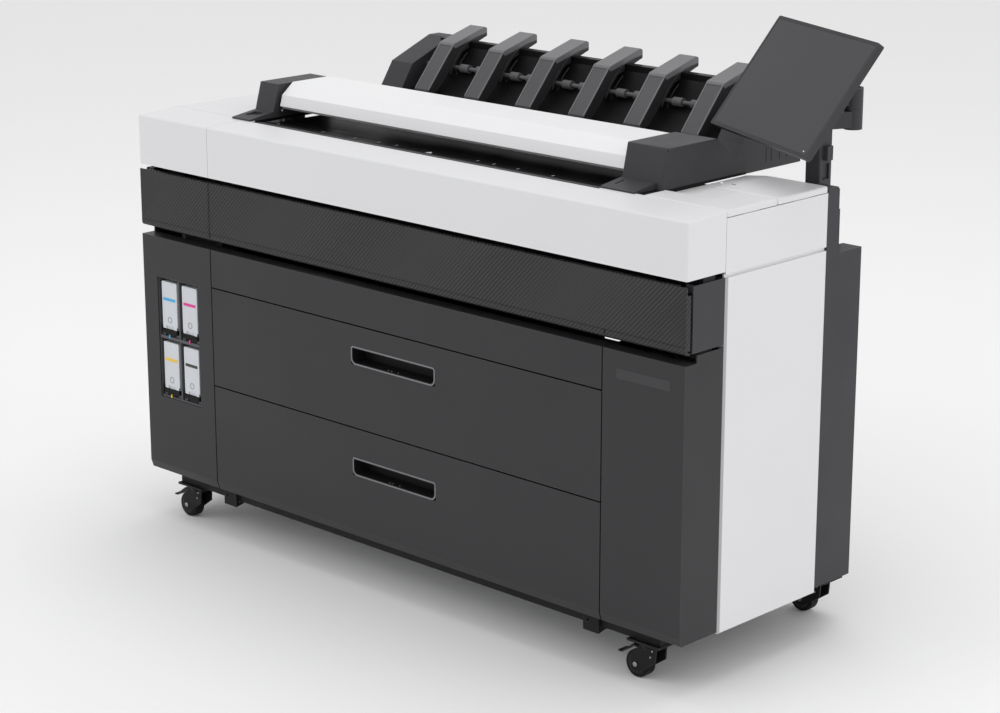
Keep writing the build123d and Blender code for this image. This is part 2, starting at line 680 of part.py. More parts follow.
with BuildPart() as scanner_bed:
    prism_x([(front + bed_from_front + cover_gap, bed_floor),
             (front + bed_from_front + cover_gap, top - 1), (lid_front - 6, bed_low),
             (lid_back + 4, bed_low), (lid_back + 10, top - 2), (covers_back, top - 2),
             (covers_back, bed_floor)], bed_x)
    prism_x([(front + bed_from_front + cover_gap + bed_wall, bed_floor - 1),
             (front + bed_from_front + cover_gap + bed_wall, top - 1 - 1.3 * bed_wall),
             (lid_front - 6, bed_low - bed_wall), (covers_back - bed_wall, bed_low - bed_wall),
             (covers_back - bed_wall, bed_floor - 1)],
            (bed_x[0] + bed_wall, bed_x[1] - bed_wall), Mode.SUBTRACT)
    block(glass_x, glass_y, (bed_low - bed_wall - 1, bed_low + 1), Mode.SUBTRACT)
    for x in (glass_x[0] - 6, glass_x[1] - 5):
        block((x, x + 11), (glass_y[0] - 5, glass_y[1] + 5),
              (bed_low - bed_wall - 3, bed_low - glass_thickness))
    for x in ((bracket_x[0], bed_x[0] + 1), (bed_x[1] - 1, housing_x[1])):
        block(x, (side_front, covers_back), (top - wing_thickness, top))
finish(scanner_bed, "scanner_bed")

with BuildPart() as scan_glass:
    block((glass_x[0] + 0.2, glass_x[1] - 0.2), (glass_y[0] + 0.2, glass_y[1] - 0.2),
          (bed_low - glass_thickness, bed_low))
finish(scan_glass, "scan_glass")

foot_front = front + 86.0
foot_rise = 11.0
upright_lean = 15.0
with BuildPart() as scanner_bracket:
    prism_x([(foot_front, top), (foot_front, top + 3), (lid_front - 12, top + foot_rise),
             (lid_front - 12 + upright_lean, top + lid_bottom + lid_height - 2),
             (lid_back + 2, top + lid_bottom + lid_height - 2), (lid_back + 8, top)], bracket_x)
    block((bracket_x[0] + 12, bracket_x[1] - 12), (foot_front + 22, foot_front + 48),
          (top + 4.5, top + 12), Mode.SUBTRACT)
    rod_x((bracket_x[1], lid_x[0] + 18), scan_axis[0], scan_axis[1], scan_pivot_radius)
finish(scanner_bracket, "scanner_bracket")

with BuildPart() as scanner_housing:
    prism_x([(lid_front - 12, top), (lid_front + 4, top + lid_bottom + lid_height + 4),
             (lid_back - 2, top + lid_bottom + lid_height + 4), (covers_back - 2, top + 12),
             (covers_back - 2, top)], housing_x)
    fillet(scanner_housing.faces().sort_by(Axis.Y)[0].edges().sort_by(Axis.X)[-1], 9)
    fillet(scanner_housing.faces().sort_by(Axis.X)[-1].edges().group_by(Axis.Z)[-1], 3)
    prism_x([(foot_front + 6, top), (foot_front + 6, top + 3), (lid_front - 10, top + foot_rise),
             (lid_front - 10, top)], (housing_x[0], housing_x[1] - 16))
    block((housing_x[0] + 14, housing_x[0] + 18), (foot_front + 26, foot_front + 50),
          (top + 4, top + 12), Mode.SUBTRACT)
    block((housing_x[0] + wall, housing_x[1] - wall), (lid_front + 4, lid_back - 4),
          (top - 1, top + lid_bottom + lid_height), Mode.SUBTRACT)
    rod_x((lid_x[1] - 18, housing_x[0] + 1), scan_axis[0], scan_axis[1], scan_pivot_radius)
finish(scanner_housing, "scanner_housing")

lid_z = top + lid_bottom
lid_outline = [(lid_front, lid_z), (lid_front + 6, lid_z + lid_chamfer_rise),
               (lid_front + 34, lid_z + lid_height), (lid_back, lid_z + lid_height),
               (lid_back + 2, lid_z + 14), (lid_back - 20, lid_z - 6), (lid_front + 8, lid_z - 6)]
with BuildPart() as scanner_lid:
    prism_x(lid_outline, lid_x)
    with BuildSketch(Plane.YZ.offset(lid_x[0] + 22)) as hollow:
        with BuildLine():
            Polyline(lid_outline, close=True)
        make_face()
        offset(amount=-wall, kind=Kind.INTERSECTION)
    extrude(hollow.sketch, amount=lid_width - 44, mode=Mode.SUBTRACT)
    block((lid_x[0] + 30, lid_x[1] - 30), (lid_front + 34, lid_front + 66),
          (lid_z - 8, lid_z), Mode.SUBTRACT)
    rod_x((lid_x[0] + 20, lid_x[1] - 20), lid_front + 50, lid_z - 2, 8)
    rod_x((lid_x[0] - 1, lid_x[0] + 19), scan_axis[0], scan_axis[1], scan_pivot_radius + fit,
          Mode.SUBTRACT)
    rod_x((lid_x[1] - 19, lid_x[1] + 1), scan_axis[0], scan_axis[1], scan_pivot_radius + fit,
          Mode.SUBTRACT)
finish(scanner_lid, "scanner_lid")

# ---------------------------------------------------------------- dark rear covers
rear_cover_width = 40.0
shelf_z = door_top - 10.5
duct_back = side_back + 33.0
duct_top = top - 5.0

with BuildPart() as rear_side_covers:
    for outer, side in ((left, 1), (right, -1)):
        y0 = side_back + cover_gap
        span = sorted((outer, outer + side * rear_cover_width))
        prism_x([(y0, cabinet_bottom + 5), (body_back, cabinet_bottom + 5), (body_back, shelf_z),
                 (duct_back, shelf_z), (duct_back, duct_top - 5), (duct_back - 5, duct_top),
                 (y0, duct_top)], span)
        hollow_x = sorted((outer + side * wall, outer + side * (rear_cover_width + 1)))
        prism_x([(y0 - 1, cabinet_bottom + 5 + wall), (body_back - wall, cabinet_bottom + 5 + wall),
                 (body_back - wall, shelf_z - wall), (duct_back - wall, shelf_z - wall),
                 (duct_back - wall, duct_top - wall), (y0 - 1, duct_top - wall)], hollow_x,
                Mode.SUBTRACT)
finish(rear_side_covers, "rear_side_covers")

inlet_x = left + 150.0
inlet_z = 210.0
inlet_size = (50.0, 32.0)
panel_x = (left + rear_cover_width + cover_gap, right - rear_cover_width - cover_gap)
deck_z = top - 60.0         # the sheet turns forward here and closes the back of the top
column_x = (right - column_from_side - column_width, right - column_from_side)
column_y = (front + column_from_front, front + column_from_front + column_depth)
with BuildPart() as rear_panel:
    block(panel_x, (body_back - 12, body_back - 12 + sheet), (cabinet_bottom + 5, deck_z))
    block(panel_x, (covers_back + cover_gap, body_back - 12 + sheet), (deck_z - sheet, deck_z))
    block((column_x[0] - 1, column_x[1] + 1), (column_y[0] - 1, column_y[1] + 1),
          (deck_z - sheet - 1, deck_z + 1), Mode.SUBTRACT)
    louvre_pitch = 14.0
    for i in range(9):
        z = 420.0 + louvre_pitch * i
        block((middle + 120, middle + 420), (body_back - 13, body_back - 9), (z, z + 6),
              Mode.SUBTRACT)
    block((inlet_x - inlet_size[0] / 2, inlet_x + inlet_size[0] / 2),
          (body_back - 13, body_back - 9),
          (inlet_z - inlet_size[1] / 2, inlet_z + inlet_size[1] / 2), Mode.SUBTRACT)
finish(rear_panel, "rear_panel")

with BuildPart() as power_inlet:
    block((inlet_x - inlet_size[0] / 2, inlet_x + inlet_size[0] / 2),
          (body_back - 12 - 18, body_back - 12 + sheet),
          (inlet_z - inlet_size[1] / 2, inlet_z + inlet_size[1] / 2))
    block((inlet_x - inlet_size[0] / 2 - 7, inlet_x + inlet_size[0] / 2 + 7),
          (body_back - 12 + sheet, body_back - 12 + sheet + 3),
          (inlet_z - inlet_size[1] / 2 - 4, inlet_z + inlet_size[1] / 2 + 4))
    block((inlet_x - 13.5, inlet_x + 13.5), (body_back - 24, body_back), (inlet_z - 9, inlet_z + 9),
          Mode.SUBTRACT)
    for dx, dz in ((-7, 2), (7, 2), (0, -3)):
        block((inlet_x + dx - 1, inlet_x + dx + 1), (body_back - 25, body_back - 12),
              (inlet_z + dz - 2, inlet_z + dz + 2))
finish(power_inlet, "power_inlet")

# ---------------------------------------------------------------- output stacker
stacker_front = back - stacker_depth
stacker_x = (scan_middle - stacker_width / 2, scan_middle + stacker_width / 2)
ribs_x = [scan_middle + rib_pitch * (i - (rib_count - 1) / 2) for i in range(rib_count)]
inner_x = (stacker_x[0] + stacker_end_width, stacker_x[1] - stacker_end_width)
stacker_base = top - 28.0
roller_axis = (stacker_front + 80, top + 68)
guide_start = (covers_back + 12, top + 6)
guide_end = (back - 56, top + 112)
guide_radius = 180.0
beam_y = (back - 60, back - 42)
beam_z = (top + 96, top + 116)

with BuildPart() as stacker_tray:
    block(inner_x, (covers_back + 2, back - 4), (stacker_base, stacker_base + wall))
    block(inner_x, (back - 7, back - 4), (stacker_base, top + 88))
    block(inner_x, (covers_back + 2, covers_back + 2 + wall), (stacker_base, top + 4))
    block((inner_x[0] - cover_gap, inner_x[1] + cover_gap), beam_y, beam_z)
    for x in (inner_x[0] + 40, inner_x[1] - 70):
        block((x, x + 30), (covers_back + 20, body_back - 30), (deck_z, stacker_base + 1))
    for x in (inner_x[0], inner_x[1] - wall):
        block((x, x + wall), (beam_y[0], back - 4), (stacker_base, beam_z[0] + 10))
    with BuildSketch(Plane.YZ.offset(inner_x[0])) as guide:
        with BuildLine():
            lower = RadiusArc(guide_start, guide_end, -guide_radius)
            upper = RadiusArc((guide_end[0] + 1, guide_end[1] - wall),
                              (guide_start[0] + 1, guide_start[1] - wall), guide_radius)
            Line(lower @ 1, upper @ 0)
            Line(upper @ 1, lower @ 0)
        make_face()
    extrude(guide.sketch, amount=inner_x[1] - inner_x[0])
finish(stacker_tray, "stacker_tray")

end_outline = [(stacker_front + 6, top + 27), (stacker_front + 36, top + 72),
               (back - 34, top + 114), (back - 6, top + 114), (back, top + 100),
               (back, stacker_base), (stacker_front - 10, stacker_base),
               (stacker_front - 10, top + 8)]
with BuildPart() as stacker_ends:
    for x in ((stacker_x[0], inner_x[0] - cover_gap), (inner_x[1] + cover_gap, stacker_x[1])):
        prism_x(end_outline, x)
        with BuildSketch(Plane.YZ.offset(x[0] + wall)) as hollow:
            with BuildLine():
                Polyline(end_outline, close=True)
            make_face()
            offset(amount=-wall, kind=Kind.INTERSECTION)
        extrude(hollow.sketch, amount=x[1] - x[0] - 2 * wall, mode=Mode.SUBTRACT)
        block((x[0] + 8, x[1] - 8), (stacker_front + 4, back - 14),
              (stacker_base - 1, stacker_base + wall + 1), Mode.SUBTRACT)
    for x in ((inner_x[0] - cover_gap - wall, inner_x[0]),
              (inner_x[1], inner_x[1] + cover_gap + wall)):
        rod_x(x, roller_axis[0], roller_axis[1], 4 + fit, Mode.SUBTRACT)
finish(stacker_ends, "stacker_ends")

rib_outline = [(0, 28), (74, 114), (162, 139), (168, 136), (168, 122), (98, 98), (58, 60),
               (24, 27), (8, 21)]
with BuildPart() as stacker_ribs:
    for x in ribs_x:
        prism_x([(stacker_front + y, top + z) for y, z in rib_outline],
                (x - rib_width / 2, x + rib_width / 2))
    block(inner_x, beam_y, beam_z, Mode.SUBTRACT)
finish(stacker_ribs, "stacker_ribs")

with BuildPart() as stacker_rollers:
    rod_x((inner_x[0] - cover_gap - wall, inner_x[1] + cover_gap + wall), roller_axis[0],
          roller_axis[1], 4)
    for x in ribs_x[:-1]:
        gap_middle = x + rib_pitch / 2
        for offset in (-22, 22):
            rod_x((gap_middle + offset - 11, gap_middle + offset + 11), roller_axis[0],
                  roller_axis[1], stacker_roller_radius)
finish(stacker_rollers, "stacker_rollers")

# ---------------------------------------------------------------- print engine
rail_y = front + rail_from_front
carriage_home = engine_x[1] - 170.0
belt_y = rail_y - 46.0
belt_x = (engine_x[0] + 45.0, engine_x[1] - 45.0)
belt_z = rail_height + 26.0
with BuildPart() as print_rail:
    rod_x(engine_x, rail_y, rail_height, rail_radius)
    block(engine_x, (rail_y + 24, rail_y + 30), (rail_height - 36, rail_height + 46))
    for x in engine_x[0], engine_x[1] - 14:
        block((x, x + 14), (rail_y - 6, rail_y + 25), (rail_height - 10, rail_height + 30))
    block((belt_x[0] - 14, belt_x[0] + 14), (belt_y + 8, rail_y + 25),
          (belt_z - 12, belt_z + 12))
    rod_y(belt_x[0], (belt_y - 6, belt_y + 9), belt_z, pulley_radius)
    block((belt_x[1] - 14, belt_x[1] + 14), (belt_y + 9, rail_y + 25),
          (belt_z - 12, belt_z + 12))
    rod_y(belt_x[1], (belt_y - 7, belt_y + 10), belt_z, journal_radius)
finish(print_rail, "print_rail")

with BuildPart() as print_platen:
    block(engine_x, (front + 165, front + 310), (platen_height, platen_height + 4))
    for y in (front + 170, front + 232, front + 300):
        block(engine_x, (y, y + 4), (platen_height - 26, platen_height))
finish(print_platen, "print_platen")

with BuildPart() as drive_belt:
    with BuildSketch(Plane.XZ.offset(-(belt_y - belt_width / 2))) as loop:
        with Locations((mid(belt_x), belt_z)):
            SlotCenterToCenter(belt_x[1] - belt_x[0], 2 * (pulley_radius + belt_thickness))
            SlotCenterToCenter(belt_x[1] - belt_x[0], 2 * pulley_radius, mode=Mode.SUBTRACT)
    extrude(loop.sketch, amount=-belt_width)
finish(drive_belt, "drive_belt")

with BuildPart() as motor_pulley:
    rod_y(belt_x[1], (belt_y - belt_width / 2, belt_y + belt_width / 2), belt_z,
          pulley_radius - 0.3)
    for y in (belt_y - belt_width / 2 - 2, belt_y + belt_width / 2):
        rod_y(belt_x[1], (y, y + 2), belt_z, pulley_radius + 3)
    rod_y(belt_x[1], (belt_y - 8, belt_y + 8), belt_z, journal_radius + fit, Mode.SUBTRACT)
finish(motor_pulley, "motor_pulley")

carriage_x = (carriage_home - carriage_width / 2, carriage_home + carriage_width / 2)
with BuildPart() as print_carriage:
    block(carriage_x, (rail_y - 100, rail_y + 18), (platen_height + 14, rail_height + 20))
    block(carriage_x, (rail_y - 100, rail_y - 62), (rail_height + 19, rail_height + 50))
    for i in range(3):
        x = carriage_x[0] + 12 + 42 * i
        block((x, x + 32), (rail_y - 92, rail_y - 30), (platen_height + 8, platen_height + 15))
    rod_x((carriage_x[0] - 1, carriage_x[1] + 1), rail_y, rail_height, rail_radius + fit,
          Mode.SUBTRACT)
    block((carriage_x[0] - 1, carriage_x[1] + 1), (belt_y - 8, belt_y + 8),
          (belt_z - pulley_radius - 3, belt_z + 30), Mode.SUBTRACT)
finish(print_carriage, "print_carriage")

with BuildPart() as feed_roller:
    rod_x((engine_x[0] + 2, engine_x[1] - 2), engine_front, platen_height - feed_radius - 2,
          feed_radius)
    rod_x((engine_x[0] - sheet - 4, engine_x[1] + sheet + 4), engine_front,
          platen_height - feed_radius - 2, journal_radius)
finish(feed_roller, "feed_roller")

box_x = (plate_right[1], right - 24)
box_y = (front + 60, front + 420)
box_z = (150.0, 560.0)
with BuildPart() as electronics_box:
    block(box_x, box_y, box_z)
    block((box_x[0] + sheet, box_x[1] + 1), (box_y[0] + sheet, box_y[1] - sheet),
          (box_z[0] + sheet, box_z[1] - sheet), Mode.SUBTRACT)
    block((box_x[0] + sheet, box_x[0] + 72), (box_y[0] + 20, box_y[0] + 220),
          (box_z[0] + sheet, box_z[0] + 130))
    for y in (box_y[0] + 40, box_y[1] - 60):
        for z in (box_z[0] + 180, box_z[1] - 40):
            rod_x((box_x[0] + 1, box_x[0] + 14), y, z, 3)
    block((box_x[0] + 14, box_x[0] + 15.6), (box_y[0] + 26, box_y[1] - 40),
          (box_z[0] + 160, box_z[1] - 20))
finish(electronics_box, "electronics_box")

# ---------------------------------------------------------------- screen, arm and column
knuckle = (right - knuckle_from_side, front + knuckle_from_front)
column_foot = door_top - 16.0
knuckle_split = knuckle_bottom + knuckle_half
column_top = knuckle_bottom - 1.0

with BuildPart() as screen_column:
    block((column_x[0] - 14, column_x[1]), (column_y[0], body_back - 13),
          (column_foot, column_foot + 6))
    block(column_x, column_y, (column_foot, column_top + 30))
    fillet(screen_column.edges().filter_by(Axis.Z).filter_by_position(
        Axis.Z, column_foot + 20, column_top + 30), 3)
    block((column_x[1] - 4, column_x[1] + 1), (column_y[0] + 8, column_y[1] - 8),
          (top - 2, top + 26), Mode.SUBTRACT)
    block((column_x[1] - 1, column_x[1] + 9), (column_y[0] + 10, column_y[1] - 10),
          (top + 32, top + 57))
    with BuildSketch(Plane.XY.offset(knuckle_bottom + 4)) as arm_outline:
        with BuildLine():
            Polyline([(column_x[0] + 2, column_y[1] - 4), (column_x[1] - 1, column_y[0] + 2),
                      (knuckle[0] + 12, knuckle[1] - 6), (knuckle[0] - 12, knuckle[1] + 6)],
                     close=True)
        make_face()
    extrude(arm_outline.sketch, amount=knuckle_half - 8)
    rod_z(knuckle[0], knuckle[1], (knuckle_bottom, knuckle_split), knuckle_radius)
    rod_z(knuckle[0], knuckle[1], (knuckle_split, knuckle_split + knuckle_half - 1),
          knuckle_pin_radius)
finish(screen_column, "screen_column")

face_normal = Vector(-math.sin(yaw) * math.cos(tilt), -math.cos(yaw) * math.cos(tilt),
                     math.sin(tilt))
screen_right = Vector(math.cos(yaw), -math.sin(yaw), 0)
screen_up = face_normal.cross(screen_right)
face_centre = Vector(right - screen_from_side, front + screen_from_front, screen_middle_height)
hinge_point = face_centre - face_normal * hinge_standoff
screen_plane = Plane(face_centre, x_dir=screen_right, z_dir=face_normal)
hinge_plane = Plane(hinge_point, x_dir=screen_up, z_dir=screen_right)
barrel_half = 16.0
lug_span = (barrel_half + 0.5, barrel_half + 11.0)

with BuildPart() as screen_arm:
    rod_z(knuckle[0], knuckle[1], (knuckle_split + 0.5, knuckle_split + knuckle_half),
          knuckle_radius)
    with BuildSketch(Plane.XY.offset(knuckle_split + 6)) as arm_outline:
        with BuildLine():
            across = screen_right * (barrel_half - 4)
            Polyline([(knuckle[0] - 12, knuckle[1] - 8), (knuckle[0] + 12, knuckle[1] + 4),
                      (hinge_point.X + across.X, hinge_point.Y + across.Y),
                      (hinge_point.X - across.X, hinge_point.Y - across.Y)], close=True)
        make_face()
    extrude(arm_outline.sketch, amount=hinge_point.Z + 5 - knuckle_split - 6)
    with BuildSketch(hinge_plane.offset(-barrel_half)):
        Circle(hinge_radius)
    extrude(amount=2 * barrel_half)
    with BuildSketch(hinge_plane.offset(-lug_span[1])):
        Circle(hinge_pin_radius)
    extrude(amount=2 * lug_span[1])
    rod_z(knuckle[0], knuckle[1], (knuckle_split, knuckle_split + knuckle_half + 1),
          knuckle_pin_radius + fit, Mode.SUBTRACT)
finish(screen_arm, "screen_arm")

screen_bezel = 6.0
glass_sheet = 1.6
with BuildPart() as screen_housing:
    with BuildSketch(screen_plane):
        RectangleRounded(screen_width, screen_height, 4)
    extrude(amount=-screen_thickness)
    with BuildSketch(screen_plane):
        RectangleRounded(screen_width - 2 * screen_bezel, screen_height - 2 * screen_bezel, 2)
    extrude(amount=-glass_sheet, mode=Mode.SUBTRACT)
    for side in (-1, 1):
        start = min(side * lug_span[0], side * lug_span[1])
        with BuildSketch(hinge_plane.offset(start)):
            Circle(hinge_radius)
            with Locations((0, (hinge_standoff - screen_thickness + 1) / 2)):
                Rectangle(2 * hinge_radius, hinge_standoff - screen_thickness + 1)
        extrude(amount=lug_span[1] - lug_span[0])
    with BuildSketch(hinge_plane.offset(-lug_span[1] - 1)):
        Circle(hinge_pin_radius + fit)
    extrude(amount=2 * lug_span[1] + 2, mode=Mode.SUBTRACT)
finish(screen_housing, "screen_housing")

with BuildPart() as screen_glass:
    with BuildSketch(screen_plane):
        RectangleRounded(screen_width - 2 * screen_bezel - 0.4,
                         screen_height - 2 * screen_bezel - 0.4, 2)
    extrude(amount=-glass_sheet)
finish(screen_glass, "screen_glass")
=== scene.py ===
"""The looks of a large format plotter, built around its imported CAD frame."""
import json
import math

import bpy
import bmesh
from mathutils import Matrix, Vector


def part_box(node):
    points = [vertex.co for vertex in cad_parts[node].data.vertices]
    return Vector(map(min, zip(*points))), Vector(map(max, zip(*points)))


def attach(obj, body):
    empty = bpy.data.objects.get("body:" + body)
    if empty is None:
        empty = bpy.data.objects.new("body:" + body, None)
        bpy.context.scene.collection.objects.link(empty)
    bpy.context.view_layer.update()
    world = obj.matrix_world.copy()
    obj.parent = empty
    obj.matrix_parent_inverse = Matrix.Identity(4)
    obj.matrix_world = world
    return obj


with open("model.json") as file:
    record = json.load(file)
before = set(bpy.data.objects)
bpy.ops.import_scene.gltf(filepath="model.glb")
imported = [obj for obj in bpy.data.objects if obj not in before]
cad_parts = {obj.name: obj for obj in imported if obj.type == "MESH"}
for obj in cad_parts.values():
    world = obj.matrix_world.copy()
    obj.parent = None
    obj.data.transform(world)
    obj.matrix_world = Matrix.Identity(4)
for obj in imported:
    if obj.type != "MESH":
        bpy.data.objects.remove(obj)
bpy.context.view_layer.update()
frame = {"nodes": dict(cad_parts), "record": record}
nodes = frame["nodes"]
scene = bpy.context.scene


# ---------------------------------------------------------------- materials
def linear(value):
    """An sRGB level from 0 to 255 as a linear one."""
    v = value / 255
    return v / 12.92 if v <= 0.04045 else ((v + 0.055) / 1.055) ** 2.4


def tone(r, g=None, b=None):
    """A linear colour from sRGB levels; one level makes a grey."""
    g = r if g is None else g
    b = r if b is None else b
    return (linear(r), linear(g), linear(b), 1.0)


class Finish:
    """A procedural material: colour, roughness and relief, each with its own variation."""

    def __init__(self, name, color, roughness, metallic=0.0, specular=0.5, coat=0.0):
        self.material = bpy.data.materials.new(name)
        self.material.use_nodes = True
        self.tree = self.material.node_tree
        self.shader = self.tree.nodes["Principled BSDF"]
        self.place = self.add("ShaderNodeTexCoord").outputs["Object"]
        self.color = color
        self.roughness = roughness
        self.shader.inputs["Metallic"].default_value = metallic
        self.shader.inputs["Specular IOR Level"].default_value = specular
        self.shader.inputs["Coat Weight"].default_value = coat
        self.shader.inputs["Base Color"].default_value = color
        self.shader.inputs["Roughness"].default_value = roughness
        self.normal = None

    def add(self, kind, **values):
        node = self.tree.nodes.new(kind)
        for key, value in values.items():
            setattr(node, key, value)
        return node

    def link(self, a, b):
        self.tree.links.new(a, b)

    def noise(self, scale, detail=2.0, stretch=(1, 1, 1)):
        mapping = self.add("ShaderNodeMapping")
        mapping.inputs["Scale"].default_value = stretch
        self.link(self.place, mapping.inputs["Vector"])
        node = self.add("ShaderNodeTexNoise")
        node.inputs["Scale"].default_value = scale
        node.inputs["Detail"].default_value = detail
        self.link(mapping.outputs["Vector"], node.inputs["Vector"])
        return node.outputs["Fac"]

    def span(self, value, low, high, from_low=0.3, from_high=0.7):
        node = self.add("ShaderNodeMapRange")
        node.inputs["From Min"].default_value = from_low
        node.inputs["From Max"].default_value = from_high
        node.inputs["To Min"].default_value = low
        node.inputs["To Max"].default_value = high
        self.link(value, node.inputs["Value"])
        return node.outputs["Result"]

    def mix(self, factor, a, b):
        node = self.add("ShaderNodeMix", data_type="RGBA")
        self.link(factor, node.inputs["Factor"])
        for socket, value in ((node.inputs["A"], a), (node.inputs["B"], b)):
            if isinstance(value, tuple):
                socket.default_value = value
            else:
                self.link(value, socket)
        return node.outputs["Result"]

    def shade(self, amount, scale=3.0):
        """Broad, soft variation of the colour."""
        factor = self.span(self.noise(scale, 3.0), 0.0, 1.0)
        low = tuple(c * (1 - amount) for c in self.color[:3]) + (1.0,)
        high = tuple(min(c * (1 + amount), 1.0) for c in self.color[:3]) + (1.0,)
        self.output = self.mix(factor, low, high)
        self.link(self.output, self.shader.inputs["Base Color"])
        return self

    def paint_edge_highlight(self, color, amount=0.5, width=0.0015):
        """Painted highlight on the edges: a lighter colour where the shape's own bevel turns."""
        bevel = self.add("ShaderNodeBevel", samples=4)
        bevel.inputs["Radius"].default_value = width
        geometry = self.add("ShaderNodeNewGeometry")
        dot = self.add("ShaderNodeVectorMath", operation="DOT_PRODUCT")
        self.link(bevel.outputs["Normal"], dot.inputs[0])
        self.link(geometry.outputs["Normal"], dot.inputs[1])
        edge = self.span(dot.outputs["Value"], amount, 0.0, 0.8, 0.995)
        base = getattr(self, "output", self.color)
        self.output = self.mix(edge, base, color)
        self.link(self.output, self.shader.inputs["Base Color"])
        return self

    def gloss(self, spread, scale=12.0, stretch=(1, 1, 1)):
        """Roughness that changes a little over the surface."""
        value = self.span(self.noise(scale, 4.0, stretch), self.roughness - spread,
                          self.roughness + spread)
        self.link(value, self.shader.inputs["Roughness"])
        return self

    def relief(self, height, strength, distance):
        node = self.add("ShaderNodeBump")
        node.inputs["Strength"].default_value = strength
        node.inputs["Distance"].default_value = distance
        self.link(height, node.inputs["Height"])
        if self.normal is not None:
            self.link(self.normal, node.inputs["Normal"])
        self.normal = node.outputs["Normal"]
        self.link(self.normal, self.shader.inputs["Normal"])
        return self

    def grain(self, scale, strength=0.12, distance=0.0003, stretch=(1, 1, 1)):
        return self.relief(self.noise(scale, 2.0, stretch), strength, distance)


def diagonal_band(finish, pitch):
    """Fine diagonal ribs, rising to the right, on faces seen from the front or the side."""
    split = finish.add("ShaderNodeSeparateXYZ")
    finish.link(finish.place, split.inputs["Vector"])
    along = finish.add("ShaderNodeMath", operation="ADD")
    finish.link(split.outputs["X"], along.inputs[0])
    finish.link(split.outputs["Y"], along.inputs[1])
    slope = finish.add("ShaderNodeMath", operation="SUBTRACT")
    finish.link(along.outputs[0], slope.inputs[0])
    finish.link(split.outputs["Z"], slope.inputs[1])
    turn = finish.add("ShaderNodeMath", operation="MULTIPLY")
    finish.link(slope.outputs[0], turn.inputs[0])
    turn.inputs[1].default_value = 2 * math.pi / pitch
    wave = finish.add("ShaderNodeMath", operation="SINE")
    finish.link(turn.outputs[0], wave.inputs[0])
    return wave.outputs[0]


def speckled(finish, color, scale):
    """A few light flecks, as in a moulded black plastic."""
    cells = finish.add("ShaderNodeTexVoronoi")
    cells.inputs["Scale"].default_value = scale
    finish.link(finish.place, cells.inputs["Vector"])
    fleck = finish.span(cells.outputs["Distance"], 0.55, 0.0, 0.04, 0.11)
    finish.output = finish.mix(fleck, getattr(finish, "output", finish.color), color)
    finish.link(finish.output, finish.shader.inputs["Base Color"])


